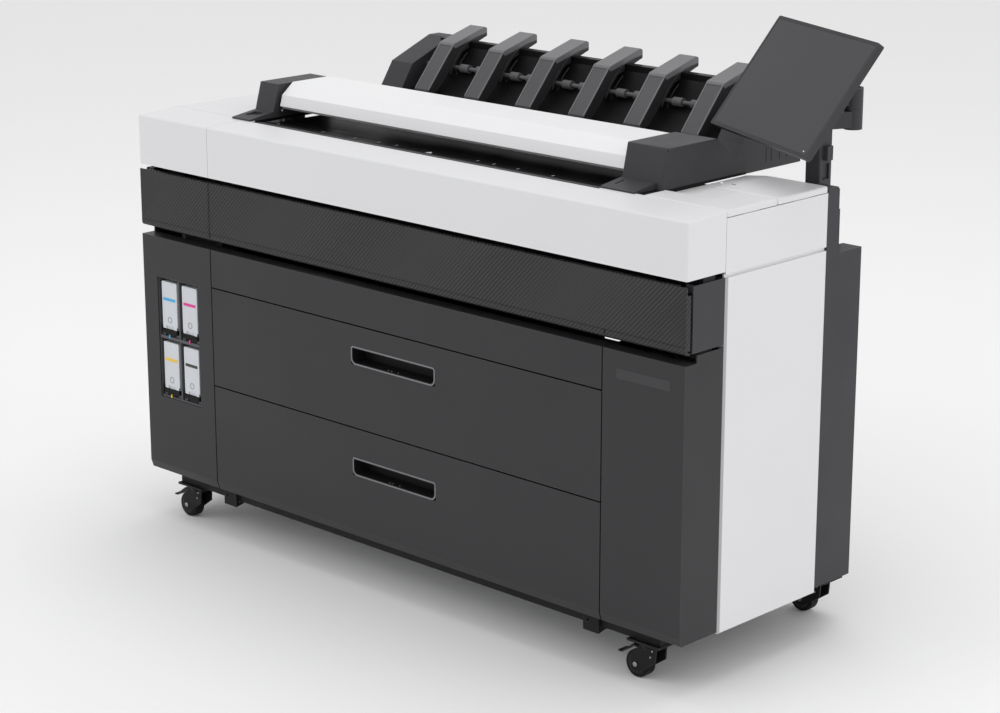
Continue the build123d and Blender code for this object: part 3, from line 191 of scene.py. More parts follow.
def make_materials():
    made = {}

    def keep(key, finish):
        made[key] = finish.material
        return finish

    # The lighter edge colours given to the finishes below are painted edge highlights.
    dark = tone(50, 50, 52)
    keep("dark_front", Finish("satin_dark_panel", dark, 0.38, specular=0.25)
         .shade(0.06, 2.0).gloss(0.05, 9.0).paint_edge_highlight(tone(104), 0.35).grain(1400, 0.1, 0.0002))
    band = keep("textured_band", Finish("ribbed_dark_band", tone(48, 48, 50), 0.45, specular=0.25))
    ribs = diagonal_band(band, 0.0088)
    # The rib troughs are painted darker and the crests lighter: painted shade and highlight
    # following the ribs.
    band.output = band.mix(band.span(ribs, 0.0, 1.0, -0.7, 0.7), tone(38), tone(56))
    band.link(band.output, band.shader.inputs["Base Color"])
    band.relief(ribs, 0.55, 0.0008).grain(1500, 0.08, 0.0002)
    keep("dark_cover", Finish("dark_moulding", tone(60, 60, 63), 0.5, specular=0.25)
         .shade(0.07, 3.0).gloss(0.06).paint_edge_highlight(tone(112), 0.3).grain(1100, 0.2, 0.0003))
    keep("white_cover", Finish("pale_grey_moulding", tone(224, 224, 226), 0.42)
         .shade(0.015, 2.0).gloss(0.05).paint_edge_highlight(tone(238), 0.4).grain(1300, 0.08, 0.0002))
    keep("lid_white", Finish("lid_white_plastic", tone(236, 236, 238), 0.33, coat=0.15)
         .shade(0.012, 2.0).gloss(0.04).grain(1500, 0.05, 0.0002))
    black = keep("black_plastic", Finish("black_moulding", tone(14, 14, 15), 0.42, specular=0.15)
                 .shade(0.12, 6.0).gloss(0.07))
    speckled(black, tone(40), 90.0)
    black.grain(1200, 0.15, 0.0003)
    keep("handle_grey", Finish("handle_moulding", tone(26, 26, 28), 0.45, specular=0.2)
         .shade(0.08, 8.0).gloss(0.05).grain(1200, 0.15, 0.0002))
    keep("handle_rim", Finish("handle_rim_grey", tone(118, 118, 121), 0.38)
         .shade(0.05, 8.0).gloss(0.05).grain(1200, 0.1, 0.0002))
    keep("bay_grey", Finish("bay_pale_plastic", tone(84, 84, 87), 0.45, specular=0.3)
         .shade(0.04, 8.0).gloss(0.05).grain(1200, 0.1, 0.0002))
    keep("bay_dark", Finish("bay_black_plastic", tone(12, 12, 13), 0.5, specular=0.15)
         .shade(0.1, 8.0).gloss(0.05).grain(1200, 0.15, 0.0002))
    keep("cartridge", Finish("cartridge_shell", tone(208, 211, 216), 0.35, coat=0.1)
         .shade(0.03, 10.0).gloss(0.05).grain(1300, 0.06, 0.0002))
    inks = {"cyan": (60, 176, 224), "magenta": (222, 56, 150), "yellow": (236, 196, 70),
            "black": (44, 44, 46)}
    for ink, levels in inks.items():
        keep("ink_" + ink, Finish("label_" + ink, tone(*levels), 0.4)
             .shade(0.05, 30.0).gloss(0.05, 40.0).grain(1500, 0.05, 0.0001))
    keep("label_grey", Finish("label_grey_ring", tone(150, 153, 158), 0.4)
         .shade(0.05, 30.0).gloss(0.05, 40.0).grain(1500, 0.05, 0.0001))
    keep("badge", Finish("badge_plate_grey", tone(58, 58, 60), 0.3, specular=0.3)
         .shade(0.04, 8.0).gloss(0.05).grain(1500, 0.05, 0.0001))
    # A lighter copy of the band's dark plastic for the raised ribs: painted highlight on the rib
    # crests.
    keep("band_rib", Finish("band_rib_painted_highlight", tone(60, 60, 62), 0.45, specular=0.25)
         .shade(0.05, 4.0).gloss(0.06).grain(1400, 0.15, 0.0002))
    # Grey for the narrow grooves in the pale covers: painted shade in the grooves.
    keep("groove_grey", Finish("painted_groove_shade_grey", tone(186, 186, 188), 0.6)
         .shade(0.04, 8.0).gloss(0.05).grain(1200, 0.1, 0.0002))
    # A mid grey for the front edges of the side panels: painted shade on the edge flange.
    keep("strip_grey", Finish("painted_shade_edge_grey", tone(168, 168, 170), 0.5)
         .shade(0.03, 8.0).gloss(0.05).grain(1200, 0.1, 0.0002))
    # A lighter copy of the stacker's grey plastic: painted highlight on the raised rib edges and
    # the cap tops.
    keep("cap_grey", Finish("stacker_cap_painted_highlight", tone(108, 108, 111), 0.42)
         .shade(0.05, 8.0).gloss(0.05).paint_edge_highlight(tone(150), 0.3).grain(1200, 0.15, 0.0002))
    keep("ramp_grey", Finish("stacker_ramp", tone(84, 84, 87), 0.45, specular=0.3)
         .shade(0.06, 8.0).gloss(0.05).grain(1200, 0.15, 0.0002))
    keep("bezel", Finish("screen_bezel_dark", tone(48, 48, 51), 0.42, specular=0.25)
         .shade(0.05, 8.0).gloss(0.05).grain(1300, 0.12, 0.0002))
    keep("tick_white", Finish("printed_tick", tone(200, 200, 202), 0.5)
         .shade(0.04, 40.0).gloss(0.05, 40.0).grain(1500, 0.05, 0.0001))
    keep("black_steel", Finish("black_powder_coat", tone(20, 20, 21), 0.5, specular=0.2)
         .shade(0.1, 10.0).gloss(0.08, 30.0).paint_edge_highlight(tone(96), 0.4).grain(900, 0.3, 0.0003))
    keep("galvanised_steel", Finish("galvanised_sheet", tone(176, 178, 181), 0.38, 1.0)
         .shade(0.12, 30.0).gloss(0.1, 25.0).grain(700, 0.15, 0.0002))
    keep("polished_steel", Finish("ground_steel", tone(190, 191, 194), 0.18, 1.0)
         .shade(0.05, 20.0).gloss(0.06, 60.0, (0.02, 1, 1)).grain(900, 0.08, 0.0001, (0.02, 1, 1)))
    keep("zinc", Finish("zinc_plate", tone(160, 162, 166), 0.32, 1.0)
         .shade(0.08, 30.0).gloss(0.08, 40.0).grain(900, 0.1, 0.0002))
    keep("caster_tyre", Finish("caster_rubber", tone(18, 18, 19), 0.6, specular=0.2)
         .shade(0.15, 40.0).gloss(0.1, 60.0).grain(900, 0.35, 0.0004))
    keep("roller_rubber", Finish("roller_rubber", tone(96, 96, 98), 0.55, specular=0.3)
         .shade(0.1, 30.0).gloss(0.06, 60.0).grain(1600, 0.3, 0.0002))
    belt = keep("belt_rubber", Finish("toothed_belt", tone(32, 32, 33), 0.6).shade(0.1, 20.0))
    belt.relief(diagonal_band(belt, 0.002), 0.6, 0.0006)
    keep("engine_black", Finish("carriage_plastic", tone(30, 30, 32), 0.45, specular=0.25)
         .shade(0.1, 12.0).gloss(0.06).grain(1200, 0.2, 0.0003))
    keep("stacker_grey", Finish("stacker_moulding", tone(46, 46, 48), 0.48, specular=0.3)
         .shade(0.07, 6.0).gloss(0.06).paint_edge_highlight(tone(130), 0.35).grain(1100, 0.2, 0.0003))
    keep("paper_roll", Finish("paper_edge", tone(232, 232, 229), 0.75)
         .shade(0.02, 20.0).gloss(0.05, 50.0).grain(400, 0.2, 0.0003, (0.05, 1, 1)))
    keep("screen_face", Finish("screen_glass_dark", tone(60, 60, 63), 0.34, specular=0.25)
         .shade(0.04, 3.0).gloss(0.04, 6.0).grain(1800, 0.03, 0.0001))
    keep("clear_glass", Finish("scanner_glass", tone(14, 15, 16), 0.42, specular=0.08)
         .shade(0.03, 5.0).gloss(0.03, 8.0).grain(1800, 0.03, 0.0001))
    lamp = keep("indicator", Finish("indicator_lens", tone(225, 232, 238), 0.3)
                .shade(0.03, 60.0).gloss(0.03, 60.0))
    lamp.shader.inputs["Emission Color"].default_value = tone(225, 232, 240)
    lamp.shader.inputs["Emission Strength"].default_value = 0.4
    return made


materials = make_materials()
for row in frame["record"]["subparts"]:
    node = nodes[row["node"]]
    node.data.materials.clear()
    node.data.materials.append(materials[row["material_slot"]])


# ---------------------------------------------------------------- mesh helpers
MM = 0.001


def piece(name, bm, material, body, smooth=False):
    """A finished piece from a bmesh, riding on a CAD body."""
    bmesh.ops.remove_doubles(bm, verts=bm.verts, dist=1e-7)
    bmesh.ops.recalc_face_normals(bm, faces=bm.faces)
    mesh = bpy.data.meshes.new(name)
    bm.to_mesh(mesh)
    bm.free()
    for polygon in mesh.polygons:
        polygon.use_smooth = smooth
    mesh.materials.append(materials[material])
    obj = bpy.data.objects.new(name, mesh)
    scene.collection.objects.link(obj)
    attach(obj, body)
    return obj


def soften(bm, width, segments=2):
    """Round every edge a little."""
    if width > 0:
        bmesh.ops.bevel(bm, geom=list(bm.edges), offset=width, segments=segments, profile=0.6,
                        affect="EDGES", clamp_overlap=True)


def add_box(bm, low, high, width=0.0003):
    """A softened box between two corners, added to a bmesh."""
    part = bmesh.new()
    bmesh.ops.create_cube(part, size=1.0)
    for vert in part.verts:
        for axis in range(3):
            vert.co[axis] = low[axis] if vert.co[axis] < 0 else high[axis]
    soften(part, width)
    join(bm, part)


def join(bm, part):
    mesh = bpy.data.meshes.new("scratch")
    part.to_mesh(mesh)
    part.free()
    bm.from_mesh(mesh)
    bpy.data.meshes.remove(mesh)


def add_prism(bm, points, start, end, place, width=0.0003):
    """A polygon carried from start to end. place(u, v, w) puts a point in the frame."""
    part = bmesh.new()
    near = [part.verts.new(place(u, v, start)) for u, v in points]
    far = [part.verts.new(place(u, v, end)) for u, v in points]
    part.faces.new(near)
    part.faces.new(far)
    for i in range(len(points)):
        j = (i + 1) % len(points)
        part.faces.new((near[i], near[j], far[j], far[i]))
    bmesh.ops.recalc_face_normals(part, faces=part.faces)
    soften(part, width)
    join(bm, part)


def add_turned(bm, profile, centre, axis, sides=40):
    """A turned shape: (radius, distance) points carried round an axis through centre."""
    part = bmesh.new()
    direction = Vector(axis).normalized()
    across = direction.orthogonal().normalized()
    other = direction.cross(across)
    rings = []
    for radius, along in profile:
        ring = []
        for k in range(sides):
            turn = 2 * math.pi * k / sides
            offset = across * math.cos(turn) * radius + other * math.sin(turn) * radius
            ring.append(part.verts.new(Vector(centre) + direction * along + offset))
        rings.append(ring)
    for a, b in zip(rings, rings[1:]):
        for k in range(sides):
            j = (k + 1) % sides
            part.faces.new((a[k], a[j], b[j], b[k]))
    part.faces.new(rings[0])
    part.faces.new(rings[-1])
    join(bm, part)


def yz_along_x(u, v, w):
    return (w, u, v)


def xz_along_y(u, v, w):
    return (u, w, v)


def xy_along_z(u, v, w):
    return (u, v, w)


def rounded(x, z, top_radius, bottom_radius, steps=6):
    """Outline of a rectangle with rounded corners, from its two spans."""
    points = []
    corners = ((x[1], z[1], top_radius, 0), (x[0], z[1], top_radius, 90),
               (x[0], z[0], bottom_radius, 180), (x[1], z[0], bottom_radius, 270))
    for cx, cz, radius, start in corners:
        sx = cx - radius if cx == x[1] else cx + radius
        sz = cz - radius if cz == z[1] else cz + radius
        for k in range(steps + 1):
            turn = math.radians(start + 90 * k / steps)
            points.append((sx + radius * math.cos(turn), sz + radius * math.sin(turn)))
    return points


def add_frame(bm, outer, inner, start, end, place):
    """A flat ring between two outlines of equally many points."""
    part = bmesh.new()
    rows = []
    for outline, depth in ((outer, end), (outer, start), (inner, start), (inner, end)):
        rows.append([part.verts.new(place(u, v, depth)) for u, v in outline])
    for a, b in zip(rows, rows[1:] + rows[:1]):
        for k in range(len(outer)):
            j = (k + 1) % len(outer)
            part.faces.new((a[k], a[j], b[j], b[k]))
    join(bm, part)


def add_screw(bm, centre, axis, radius=0.003):
    """A domed screw head with a socket."""
    profile = [(radius, 0.0), (radius, radius * 0.35), (radius * 0.8, radius * 0.6),
               (radius * 0.42, radius * 0.66), (radius * 0.38, radius * 0.3)]
    add_turned(bm, profile, centre, axis, 20)


# ---------------------------------------------------------------- where things are
left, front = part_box("left_cabinet_panel")[0][:2]
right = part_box("right_cabinet_panel")[1].x
middle = (left + right) / 2
left_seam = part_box("centre_panel")[0].x - 1.5 * MM
right_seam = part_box("centre_panel")[1].x + 1.5 * MM
door_low, door_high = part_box("front_door")
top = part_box("top_cover_left")[1].z
side_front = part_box("side_panels")[0].y
side_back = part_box("side_panels")[1].y
bed_slope = 9.0 / 65.0        # fall of the scanner bed towards the glass


def badge():
    """The blank badge plate on the right cabinet."""
    bm = bmesh.new()
    x = (middle + 554 * MM, middle + 669 * MM)
    z = (539 * MM, 555 * MM)
    add_prism(bm, rounded(x, z, 1.5 * MM, 1.5 * MM), front - 0.7 * MM, front + 0.5 * MM,
              xz_along_y, 0.0002)
    piece("badge_plate", bm, "badge", "root")
    edge = bmesh.new()
    add_frame(edge, rounded((x[0] - 0.8 * MM, x[1] + 0.8 * MM), (z[0] - 0.8 * MM, z[1] + 0.8 * MM),
                            2 * MM, 2 * MM),
              rounded(x, z, 1.5 * MM, 1.5 * MM), front - 0.3 * MM, front + 0.4 * MM, xz_along_y)
    piece("badge_edge", edge, "dark_cover", "root")


def band_ribs():
    """Raised diagonal ribs on the door, above its smooth lip."""
    pitch = 8.6 * MM
    z = (door_low.z + 15 * MM, door_high.z - 1.5 * MM)
    x = (door_low.x + 1 * MM, door_high.x - 1 * MM)
    rise = z[1] - z[0]
    bm = bmesh.new()
    count = int((x[1] - x[0] + rise) / pitch)
    for i in range(count + 1):
        foot = x[0] - rise + pitch * i
        t = (max(0.0, (x[0] - foot) / rise), min(1.0, (x[1] - foot) / rise))
        if t[1] - t[0] < 0.02:
            continue
        rows = []
        for s in t:
            cx = foot + rise * s
            cz = z[0] + rise * s
            rows.append([bm.verts.new((max(x[0], min(x[1], cx + dx)), front + dy, cz))
                         for dx, dy in ((-2.4 * MM, 0.2 * MM), (-1.2 * MM, -0.5 * MM),
                                        (1.2 * MM, -0.5 * MM), (2.4 * MM, 0.2 * MM))])
        a, b = rows
        for k in range(3):
            bm.faces.new((a[k], a[k + 1], b[k + 1], b[k]))
        bm.faces.new((a[0], b[0], b[3], a[3]))
        bm.faces.new(a)
        bm.faces.new(b)
    # The raised ribs take the lighter rib grey: painted highlight on their crests.
    piece("door_ribs", bm, "band_rib", "door")
    lines = bmesh.new()
    # The thin dark line along the top of the smooth lip is a painted shadow line under the ribs;
    # the upright dark strips are the door's seams.
    add_box(lines, (x[0], front - 0.15 * MM, z[0] - 1.6 * MM),
            (x[1], front + 0.2 * MM, z[0] - 0.8 * MM), 0)
    for seam_x, height in ((left_seam, door_high.z), (right_seam + 4 * MM, z[0])):
        add_box(lines, (seam_x - 0.8 * MM, front - 0.62 * MM, door_low.z + 6 * MM),
                (seam_x + 0.8 * MM, front + 0.2 * MM, height - 0.5 * MM), 0)
    piece("door_seams_and_shadow_line", lines, "bay_dark", "door")


def cartridge_faces():
    """Colour bands, rings and latches in front of each cartridge."""
    latches = bmesh.new()
    for ink in ("cyan", "magenta", "yellow", "black"):
        a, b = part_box("cartridge_" + ink)
        width, height = b.x - a.x, b.z - a.z
        centre = (a.x + b.x) / 2
        body = "ink_" + ink
        band = bmesh.new()
        z = b.z - 0.37 * height
        add_prism(band, rounded((centre - 0.4 * width, centre + 0.4 * width),
                                (z - 3 * MM, z + 3 * MM), 0.8 * MM, 0.8 * MM),
                  a.y - 0.35 * MM, a.y + 0.5 * MM, xz_along_y, 0.0001)
        piece("ink_band_" + ink, band, "ink_" + ink, body)
        ring = bmesh.new()
        ring_z = a.z + 0.2 * height
        circle = [(centre + math.cos(k * math.pi / 18), ring_z + math.sin(k * math.pi / 18))
                  for k in range(36)]
        outer = [(centre + (u - centre) * 6.5 * MM, ring_z + (v - ring_z) * 6.5 * MM)
                 for u, v in circle]
        inner = [(centre + (u - centre) * 4.6 * MM, ring_z + (v - ring_z) * 4.6 * MM)
                 for u, v in circle]
        add_frame(ring, outer, inner, a.y - 0.3 * MM, a.y + 0.4 * MM, xz_along_y)
        piece("ink_ring_" + ink, ring, "label_grey", body)
        for side in (-1, 1):
            x = sorted((centre + side * (width / 2 + 0.4 * MM),
                        centre + side * (width / 2 + 1.7 * MM)))
            add_box(latches, (x[0], a.y - 2.2 * MM, a.z - 8 * MM),
                    (x[1], a.y - 0.4 * MM, a.z + 7 * MM))
        add_box(latches, (centre - width / 2 + 1 * MM, a.y - 2.2 * MM, a.z - 9 * MM),
                (centre + width / 2 - 1 * MM, a.y + 3 * MM, a.z - 0.6 * MM), 0.0006)
        if ink != "black":
            mark = bmesh.new()
            add_box(mark, (centre - 1.6 * MM, a.y - 3.0 * MM, a.z - 17 * MM),
                    (centre + 1.6 * MM, a.y - 1.5 * MM, a.z - 10 * MM), 0.0003)
            piece("ink_mark_" + ink, mark, "ink_" + ink, "root")
    piece("cartridge_latches", latches, "bay_dark", "root")


def handle_rims():
    """The pale rim and the small screws of each handle pocket."""
    for name in ("upper", "lower"):
        a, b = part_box("handle_" + name)
        body = "drawer_" + name
        rim = bmesh.new()
        width = 2.6 * MM
        add_frame(rim, rounded((a.x, b.x), (a.z, b.z), 5 * MM, 12 * MM),
                  rounded((a.x + width, b.x - width), (a.z + width, b.z - width), 3 * MM,
                          9.8 * MM), front - 0.5 * MM, front + 0.3 * MM, xz_along_y)
        piece("handle_rim_" + name, rim, "handle_rim", body)
        screws = bmesh.new()
        for dx in (-16 * MM, -8 * MM, 10 * MM):
            add_screw(screws, ((a.x + b.x) / 2 + dx, a.y + 6 * MM, a.z + 4 * MM), (0, 0, 1),
                      1.6 * MM)
        piece("handle_screws_" + name, screws, "zinc", body, True)


def top_details():
    """Indicator, slot and flap outline on the right covers, with painted shade in the flap's
    grooves, the grooves beside the sides, and painted shade strips along the sides' front edges.
    """
    lamp = bmesh.new()
    add_turned(lamp, [(2.6 * MM, -0.5 * MM), (2.6 * MM, 0.3 * MM), (1.6 * MM, 0.7 * MM)],
               (middle + 553 * MM, front + 265 * MM, top), (0, 0, 1), 24)
    piece("indicator_lamp", lamp, "indicator", "root", True)
    slot_bm = bmesh.new()
    x, y = middle + 577 * MM, front + 268 * MM
    add_prism(slot_bm, rounded((x - 5 * MM, x + 5 * MM), (y - 1.4 * MM, y + 1.4 * MM), 1.3 * MM,
                               1.3 * MM), top - 0.5 * MM, top + 0.15 * MM, xy_along_z, 0)
    piece("cover_slot", slot_bm, "bay_dark", "root")
    # The flap's outline is drawn as thin grey lines: painted shade in its grooves.
    flap = bmesh.new()
    x0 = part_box("top_cover_right_front")[0].x + 54 * MM
    x1 = middle + 616 * MM
    y0, y1 = front + 150 * MM, front + 222 * MM
    for low_corner, high_corner in (((x1 - 0.5 * MM, y0), (x1, y1)),
                                    ((x0, y0), (x1, y0 + 0.5 * MM)),
                                    ((x0, y1 - 0.5 * MM), (x1, y1))):
        add_box(flap, (*low_corner, top - 0.3 * MM), (*high_corner, top + 0.06 * MM), 0)
    piece("cover_flap_outline", flap, "groove_grey", "root")
    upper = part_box("upper_side_panels")[0].z
    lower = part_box("side_panels")[1].z
    groove = bmesh.new()
    strip = bmesh.new()
    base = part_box("side_panels")[0].z
    for outer, side in ((left, 1), (right, -1)):
        x = sorted((outer + side * 4 * MM, outer + side * 7 * MM))
        add_box(groove, (x[0], side_front, lower - 2.5 * MM), (x[1], side_back, upper + 2.5 * MM))
        # A grey strip along each side panel's front edge: painted shade on the panel's edge
        # flange.
        x = sorted((outer - side * 0.2 * MM, outer + side * 1.5 * MM))
        add_box(strip, (x[0], side_front - 0.8 * MM, base + 1 * MM),
                (x[1], side_front + 7 * MM, lower), 0.0004)
    piece("side_grooves", groove, "white_cover", "root")
    piece("side_edge_shade_strips", strip, "strip_grey", "root")


def stacker_details():
    """Raised edges and caps of the ribs, and lines on the end covers."""
    a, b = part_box("stacker_ribs")
    base = a.z - 21 * MM
    start = a.y
    width = 40 * MM
    rib_count = 6
    pitch = (b.x - a.x - width) / (rib_count - 1)
    edges = bmesh.new()
    caps = bmesh.new()
    sides = bmesh.new()
    ramps = bmesh.new()
    ramp_run, ramp_rise = 74 * MM, 86 * MM
    slope = math.atan2(ramp_rise, ramp_run)
    lift = (-math.sin(slope), math.cos(slope))

    def at(along, out):
        """A point on the ramp, as (y, z)."""
        return (start + along * ramp_run + lift[0] * out,
                base + 28 * MM + along * ramp_rise + lift[1] * out)

    for i in range(rib_count):
        x = a.x + width / 2 + pitch * i
        for side in (-1, 1):
            span = sorted((x + side * (width / 2 - 0.1 * MM), x + side * (width / 2 - 3 * MM)))
            outline = [at(0.03, 0.0), at(0.98, 0.0), at(0.96, 1.2 * MM), at(0.05, 1.2 * MM)]
            add_prism(edges, outline, span[0], span[1], yz_along_x, 0.0002)
        plate = [at(0.03, 0.0), at(0.98, 0.0), at(0.98, 0.5 * MM), at(0.03, 0.5 * MM)]
        add_prism(ramps, plate, x - width / 2 + 3 * MM, x + width / 2 - 3 * MM, yz_along_x, 0)
        cap = [(start + 70 * MM, base + 112 * MM), (start + 74 * MM, base + 116.5 * MM),
               (start + 161 * MM, base + 141 * MM), (start + 168 * MM, base + 138 * MM),
               (start + 167 * MM, base + 128 * MM), (start + 158 * MM, base + 126 * MM),
               (start + 76 * MM, base + 106 * MM)]
        add_prism(caps, cap, x - width / 2 - 0.6 * MM, x + width / 2 + 0.6 * MM, yz_along_x,
                  0.0012)
        for k in range(2):
            arc = []
            for t in range(9):
                turn = math.radians(20 + 9 * t)
                radius = (88 + 16 * k) * MM
                arc.append((start + 160 * MM - radius * math.cos(turn),
                            base + 22 * MM + radius * math.sin(turn)))
            outline = arc + [(u + 1.6 * MM, v - 0.8 * MM) for u, v in reversed(arc)]
            add_prism(sides, outline, x + width / 2 - 0.2 * MM, x + width / 2 + 1.0 * MM,
                      yz_along_x, 0)
    # The raised edges and caps take the lighter cap grey: painted highlight on them.
    piece("rib_edges", edges, "cap_grey", "root")
    piece("rib_ramps", ramps, "ramp_grey", "root")
    piece("rib_caps", caps, "cap_grey", "root")
    piece("rib_side_ridges", sides, "stacker_grey", "root")
    c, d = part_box("stacker_ends")
    lines = bmesh.new()
    end_top = base + 114 * MM
    for x0 in (c.x, d.x - 60 * MM):
        add_box(lines, (x0 + 1 * MM, start + 76 * MM, end_top - 24 * MM + 0.2 * MM),
                (x0 + 1.2 * MM, start + 77 * MM, end_top - 24 * MM), 0)
    for f in (517, 532, 556, 577):
        for face in (c.x - 0.1 * MM, d.x - 0.3 * MM):
            add_box(lines, (face, front + f * MM, base - 14 * MM),
                    (face + 0.4 * MM, front + (f + 2) * MM, base + 34 * MM), 0)
    piece("stacker_end_lines", lines, "bay_dark", "root")


def bed_marks():
    """Generic alignment ticks and the ribbed front strip of the scanner bed."""
    a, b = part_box("scan_glass")
    ticks = bmesh.new()
    lid_y = front + 158 * MM
    surface = a.z + 4 * MM
    centre = (a.x + b.x) / 2
    for k, reach in enumerate((210, 297, 420, 594, 841)):
        for side in (-1, 1):
            x = centre + side * reach / 2 * MM
            y = lid_y - (14 + 3 * k) * MM
            z = surface + bed_slope * (lid_y - 6 * MM - y)
            add_box(ticks, (x - 0.6 * MM, y - 5 * MM, z),
                    (x + 0.6 * MM, y + 5 * MM, z + 0.5 * MM), 0)
    x = centre
    y = lid_y - 30 * MM
    z = surface + bed_slope * (lid_y - 6 * MM - y)
    add_prism(ticks, [(x - 7 * MM, y - 4 * MM), (x + 7 * MM, y - 4 * MM), (x, y + 6 * MM)],
              z + 0.1 * MM, z + 1.3 * MM, xy_along_z, 0)
    piece("bed_ticks", ticks, "tick_white", "root")
    ribs = bmesh.new()
    bed_front = front + 88 * MM
    for k in range(5):
        y = bed_front + (3 + 4 * k) * MM
        z = top - 1 * MM - (y - front - 87 * MM) * bed_slope
        add_box(ribs, (a.x - 16 * MM, y - 1 * MM, z - 0.6 * MM),
                (b.x + 16 * MM, y + 1 * MM, z + 0.7 * MM), 0.0002)
    piece("bed_front_ribs", ribs, "dark_cover", "root")


def caster_details():
    """Hubs, axle ends and rivets of the casters."""
    for place in ("front_left", "front_right", "rear_left", "rear_right"):
        a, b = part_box("caster_wheel_" + place)
        centre = (a + b) / 2
        hub = bmesh.new()
        for side in (-1, 1):
            face = centre.y + side * (b.y - a.y) / 2
            profile = [(18.5 * MM, -1.5 * MM), (18.5 * MM, 0.15 * MM), (17.0 * MM, 0.5 * MM),
                       (10.0 * MM, 0.3 * MM), (7.5 * MM, 0.8 * MM), (4.2 * MM, 0.8 * MM)]
            add_turned(hub, profile, (centre.x, face, centre.z), (0, side, 0))
        piece("wheel_hub_" + place, hub, "engine_black", "wheel_" + place, True)
        fork_low, fork_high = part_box("caster_fork_" + place)
        bolts = bmesh.new()
        for side, face in ((-1, fork_low.y), (1, fork_high.y)):
            middle_y = centre.y + side * 15 * MM
            add_turned(bolts, [(5.2 * MM, -0.3 * MM), (5.2 * MM, 1.6 * MM), (3.2 * MM, 2.2 * MM)],
                       (centre.x, middle_y, centre.z), (0, side, 0), 6)
            for dx, dz in ((22, 37), (38, 36), (34, 24)):
                add_screw(bolts, (centre.x + dx * MM, middle_y, centre.z + dz * MM - 2 * MM),
                          (0, side, 0), 2.0 * MM)
        piece("caster_bolts_" + place, bolts, "zinc", "fork_" + place, True)


def paper_and_spindles():
    """The paper sleeve of each roll."""
    for name in ("upper", "lower"):
        a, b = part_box("media_roll_" + name)
        y, z = (a.y + b.y) / 2, (a.z + b.z) / 2
        paper = (a.x + 30 * MM, b.x - 30 * MM)
        sleeve = bmesh.new()
        profile = [(68 * MM, paper[0]), (68.35 * MM, paper[0] + 0.4 * MM)]
        steps = 24
        for k in range(steps + 1):
            ripple = 0.08 * MM * math.sin(k * 1.7)
            profile.append((68.35 * MM + ripple, paper[0] + 1 * MM
                            + (paper[1] - paper[0] - 2 * MM) * k / steps))
        profile.append((68 * MM, paper[1]))
        add_turned(sleeve, profile, (0, y, z), (1, 0, 0), 64)
        piece("paper_sleeve_" + name, sleeve, "paper_roll", "roll_" + name, True)


def screen_details():
    """The status light and the vents behind the screen."""
    a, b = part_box("screen_glass")
    centre = (a + b) / 2
    yaw, tilt = math.radians(24.7), math.radians(35.7)
    normal = Vector((-math.sin(yaw) * math.cos(tilt), -math.cos(yaw) * math.cos(tilt),
                     math.sin(tilt)))
    across = Vector((math.cos(yaw), -math.sin(yaw), 0))
    up = normal.cross(across)
    face = centre + normal * 0.8 * MM

    def on_face(u, v, w):
        return face + across * u + up * v + normal * w

    light = bmesh.new()
    add_turned(light, [(1.3 * MM, -0.2 * MM), (1.3 * MM, 0.15 * MM), (0.8 * MM, 0.3 * MM)],
               on_face(158 * MM, -101 * MM, 0), normal, 16)
    piece("screen_light", light, "indicator", "screen", True)
    bezel = bmesh.new()
    outer = rounded((-175 * MM, 175 * MM), (-112 * MM, 112 * MM), 4 * MM, 4 * MM)
    inner = rounded((-169.2 * MM, 169.2 * MM), (-106.2 * MM, 106.2 * MM), 2 * MM, 2 * MM)
    add_frame(bezel, outer, inner, 0.0, 0.25 * MM, on_face)
    piece("screen_bezel", bezel, "bezel", "screen")
    vents = bmesh.new()
    for k in range(9):
        v = (60 + 4 * k) * MM
        corners = [(-60 * MM, v), (60 * MM, v), (60 * MM, v + 1.6 * MM), (-60 * MM, v + 1.6 * MM)]
        add_prism(vents, corners, -12.2 * MM, -11.6 * MM, on_face, 0)
    piece("screen_vents", vents, "bay_dark", "screen")


def back_details():
    """Screws round the back panel."""
    a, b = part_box("rear_panel")
    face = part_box("power_inlet")[1].y - 3 * MM
    screws = bmesh.new()
    for i in range(6):
        x = a.x + 30 * MM + (b.x - a.x - 60 * MM) * i / 5
        for z in (a.z + 16 * MM, b.z - 16 * MM):
            add_screw(screws, (x, face, z), (0, 1, 0), 4 * MM)
    for i in range(1, 4):
        z = a.z + (b.z - a.z) * i / 4
        for x in (a.x + 16 * MM, b.x - 16 * MM):
            add_screw(screws, (x, face, z), (0, 1, 0), 4 * MM)
    piece("back_screws", screws, "zinc", "root", True)


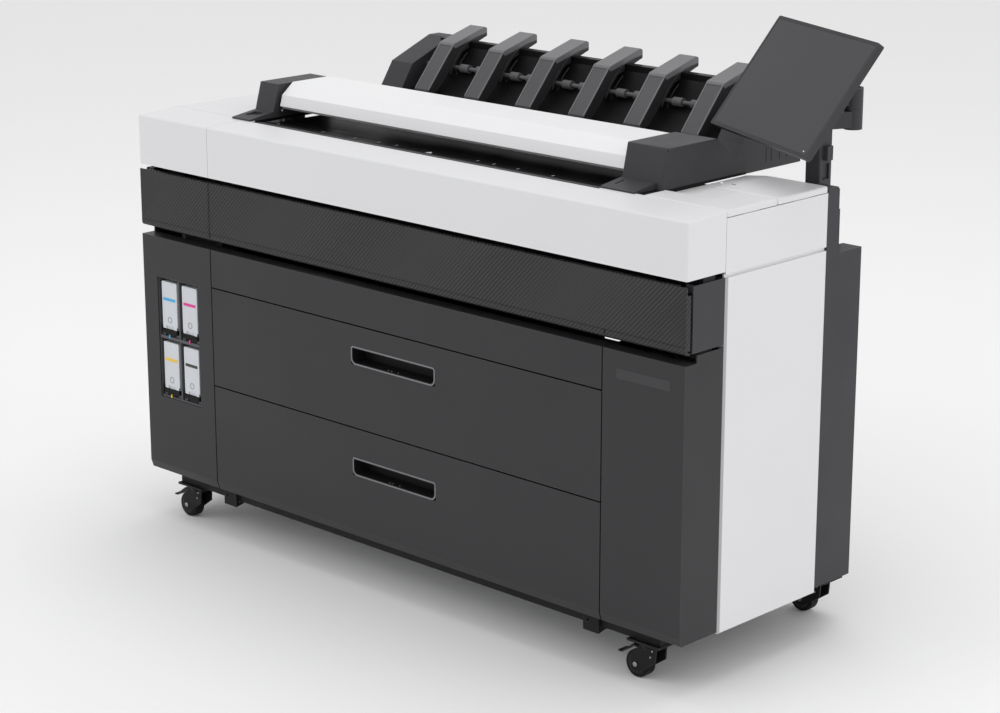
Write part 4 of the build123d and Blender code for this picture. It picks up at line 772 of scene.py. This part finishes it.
def scanner_details():
    """Small marks on the scanner's bracket, housing and lid."""
    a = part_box("scanner_bracket")[0]
    pin = bmesh.new()
    add_turned(pin, [(3.0 * MM, 0.0), (3.0 * MM, 5 * MM), (2.2 * MM, 6 * MM)],
               (a.x + 60 * MM, front + 166 * MM, top + 12 * MM), (0, -1, 0), 20)
    piece("lid_pin", pin, "zinc", "root", True)
    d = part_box("scanner_housing")[1]
    lines = bmesh.new()
    add_box(lines, (d.x - 16.4 * MM, front + 150 * MM, top + 0.4 * MM),
            (d.x - 16 * MM, front + 150.6 * MM, top + 0.6 * MM), 0)
    piece("housing_line", lines, "bay_dark", "root")


for build in (badge, band_ribs, cartridge_faces, handle_rims, top_details, stacker_details,
              bed_marks, caster_details, paper_and_spindles, screen_details, back_details,
              scanner_details):
    build()


# ---------------------------------------------------------------- camera, light, floor
def set_camera():
    data = bpy.data.cameras.new("camera")
    data.sensor_width = 36.0
    data.lens = 90.3
    camera = bpy.data.objects.new("camera", data)
    camera.location = (3.127, -3.320, 1.697)
    camera.rotation_euler = (math.radians(90 - 15.7), 0, math.radians(43.9))
    scene.collection.objects.link(camera)
    scene.camera = camera


def area_light(name, place, target, size, power):
    data = bpy.data.lights.new(name, "AREA")
    data.shape = "RECTANGLE"
    data.size, data.size_y = size
    data.energy = power
    light = bpy.data.objects.new(name, data)
    light.location = place
    light.rotation_euler = (Vector(target) - Vector(place)).to_track_quat("-Z", "Y").to_euler()
    scene.collection.objects.link(light)


def floor():
    mesh = bpy.data.meshes.new("floor")
    half = 30.0
    mesh.from_pydata([(-half, -half, 0), (half, -half, 0), (half, half, 0), (-half, half, 0)],
                     [], [(0, 1, 2, 3)])
    obj = bpy.data.objects.new("floor", mesh)
    scene.collection.objects.link(obj)
    paint = Finish("studio_floor", tone(250), 0.9).shade(0.004, 1.0)
    mesh.materials.append(paint.material)


set_camera()
floor()
world = bpy.data.worlds.new("studio")
world.use_nodes = True
world.node_tree.nodes["Background"].inputs["Color"].default_value = (1, 1, 1, 1)
world.node_tree.nodes["Background"].inputs["Strength"].default_value = 0.8
scene.world = world
area_light("key", (-2.4, -4.2, 3.6), (0, 0, 0.5), (3.0, 2.4), 27)
area_light("side", (4.5, 0.6, 2.4), (0.5, 0, 0.5), (2.4, 2.4), 24)
area_light("top", (0, 0.4, 4.5), (0, 0, 0.6), (4.0, 3.0), 35)
scene.view_settings.view_transform = "Standard"
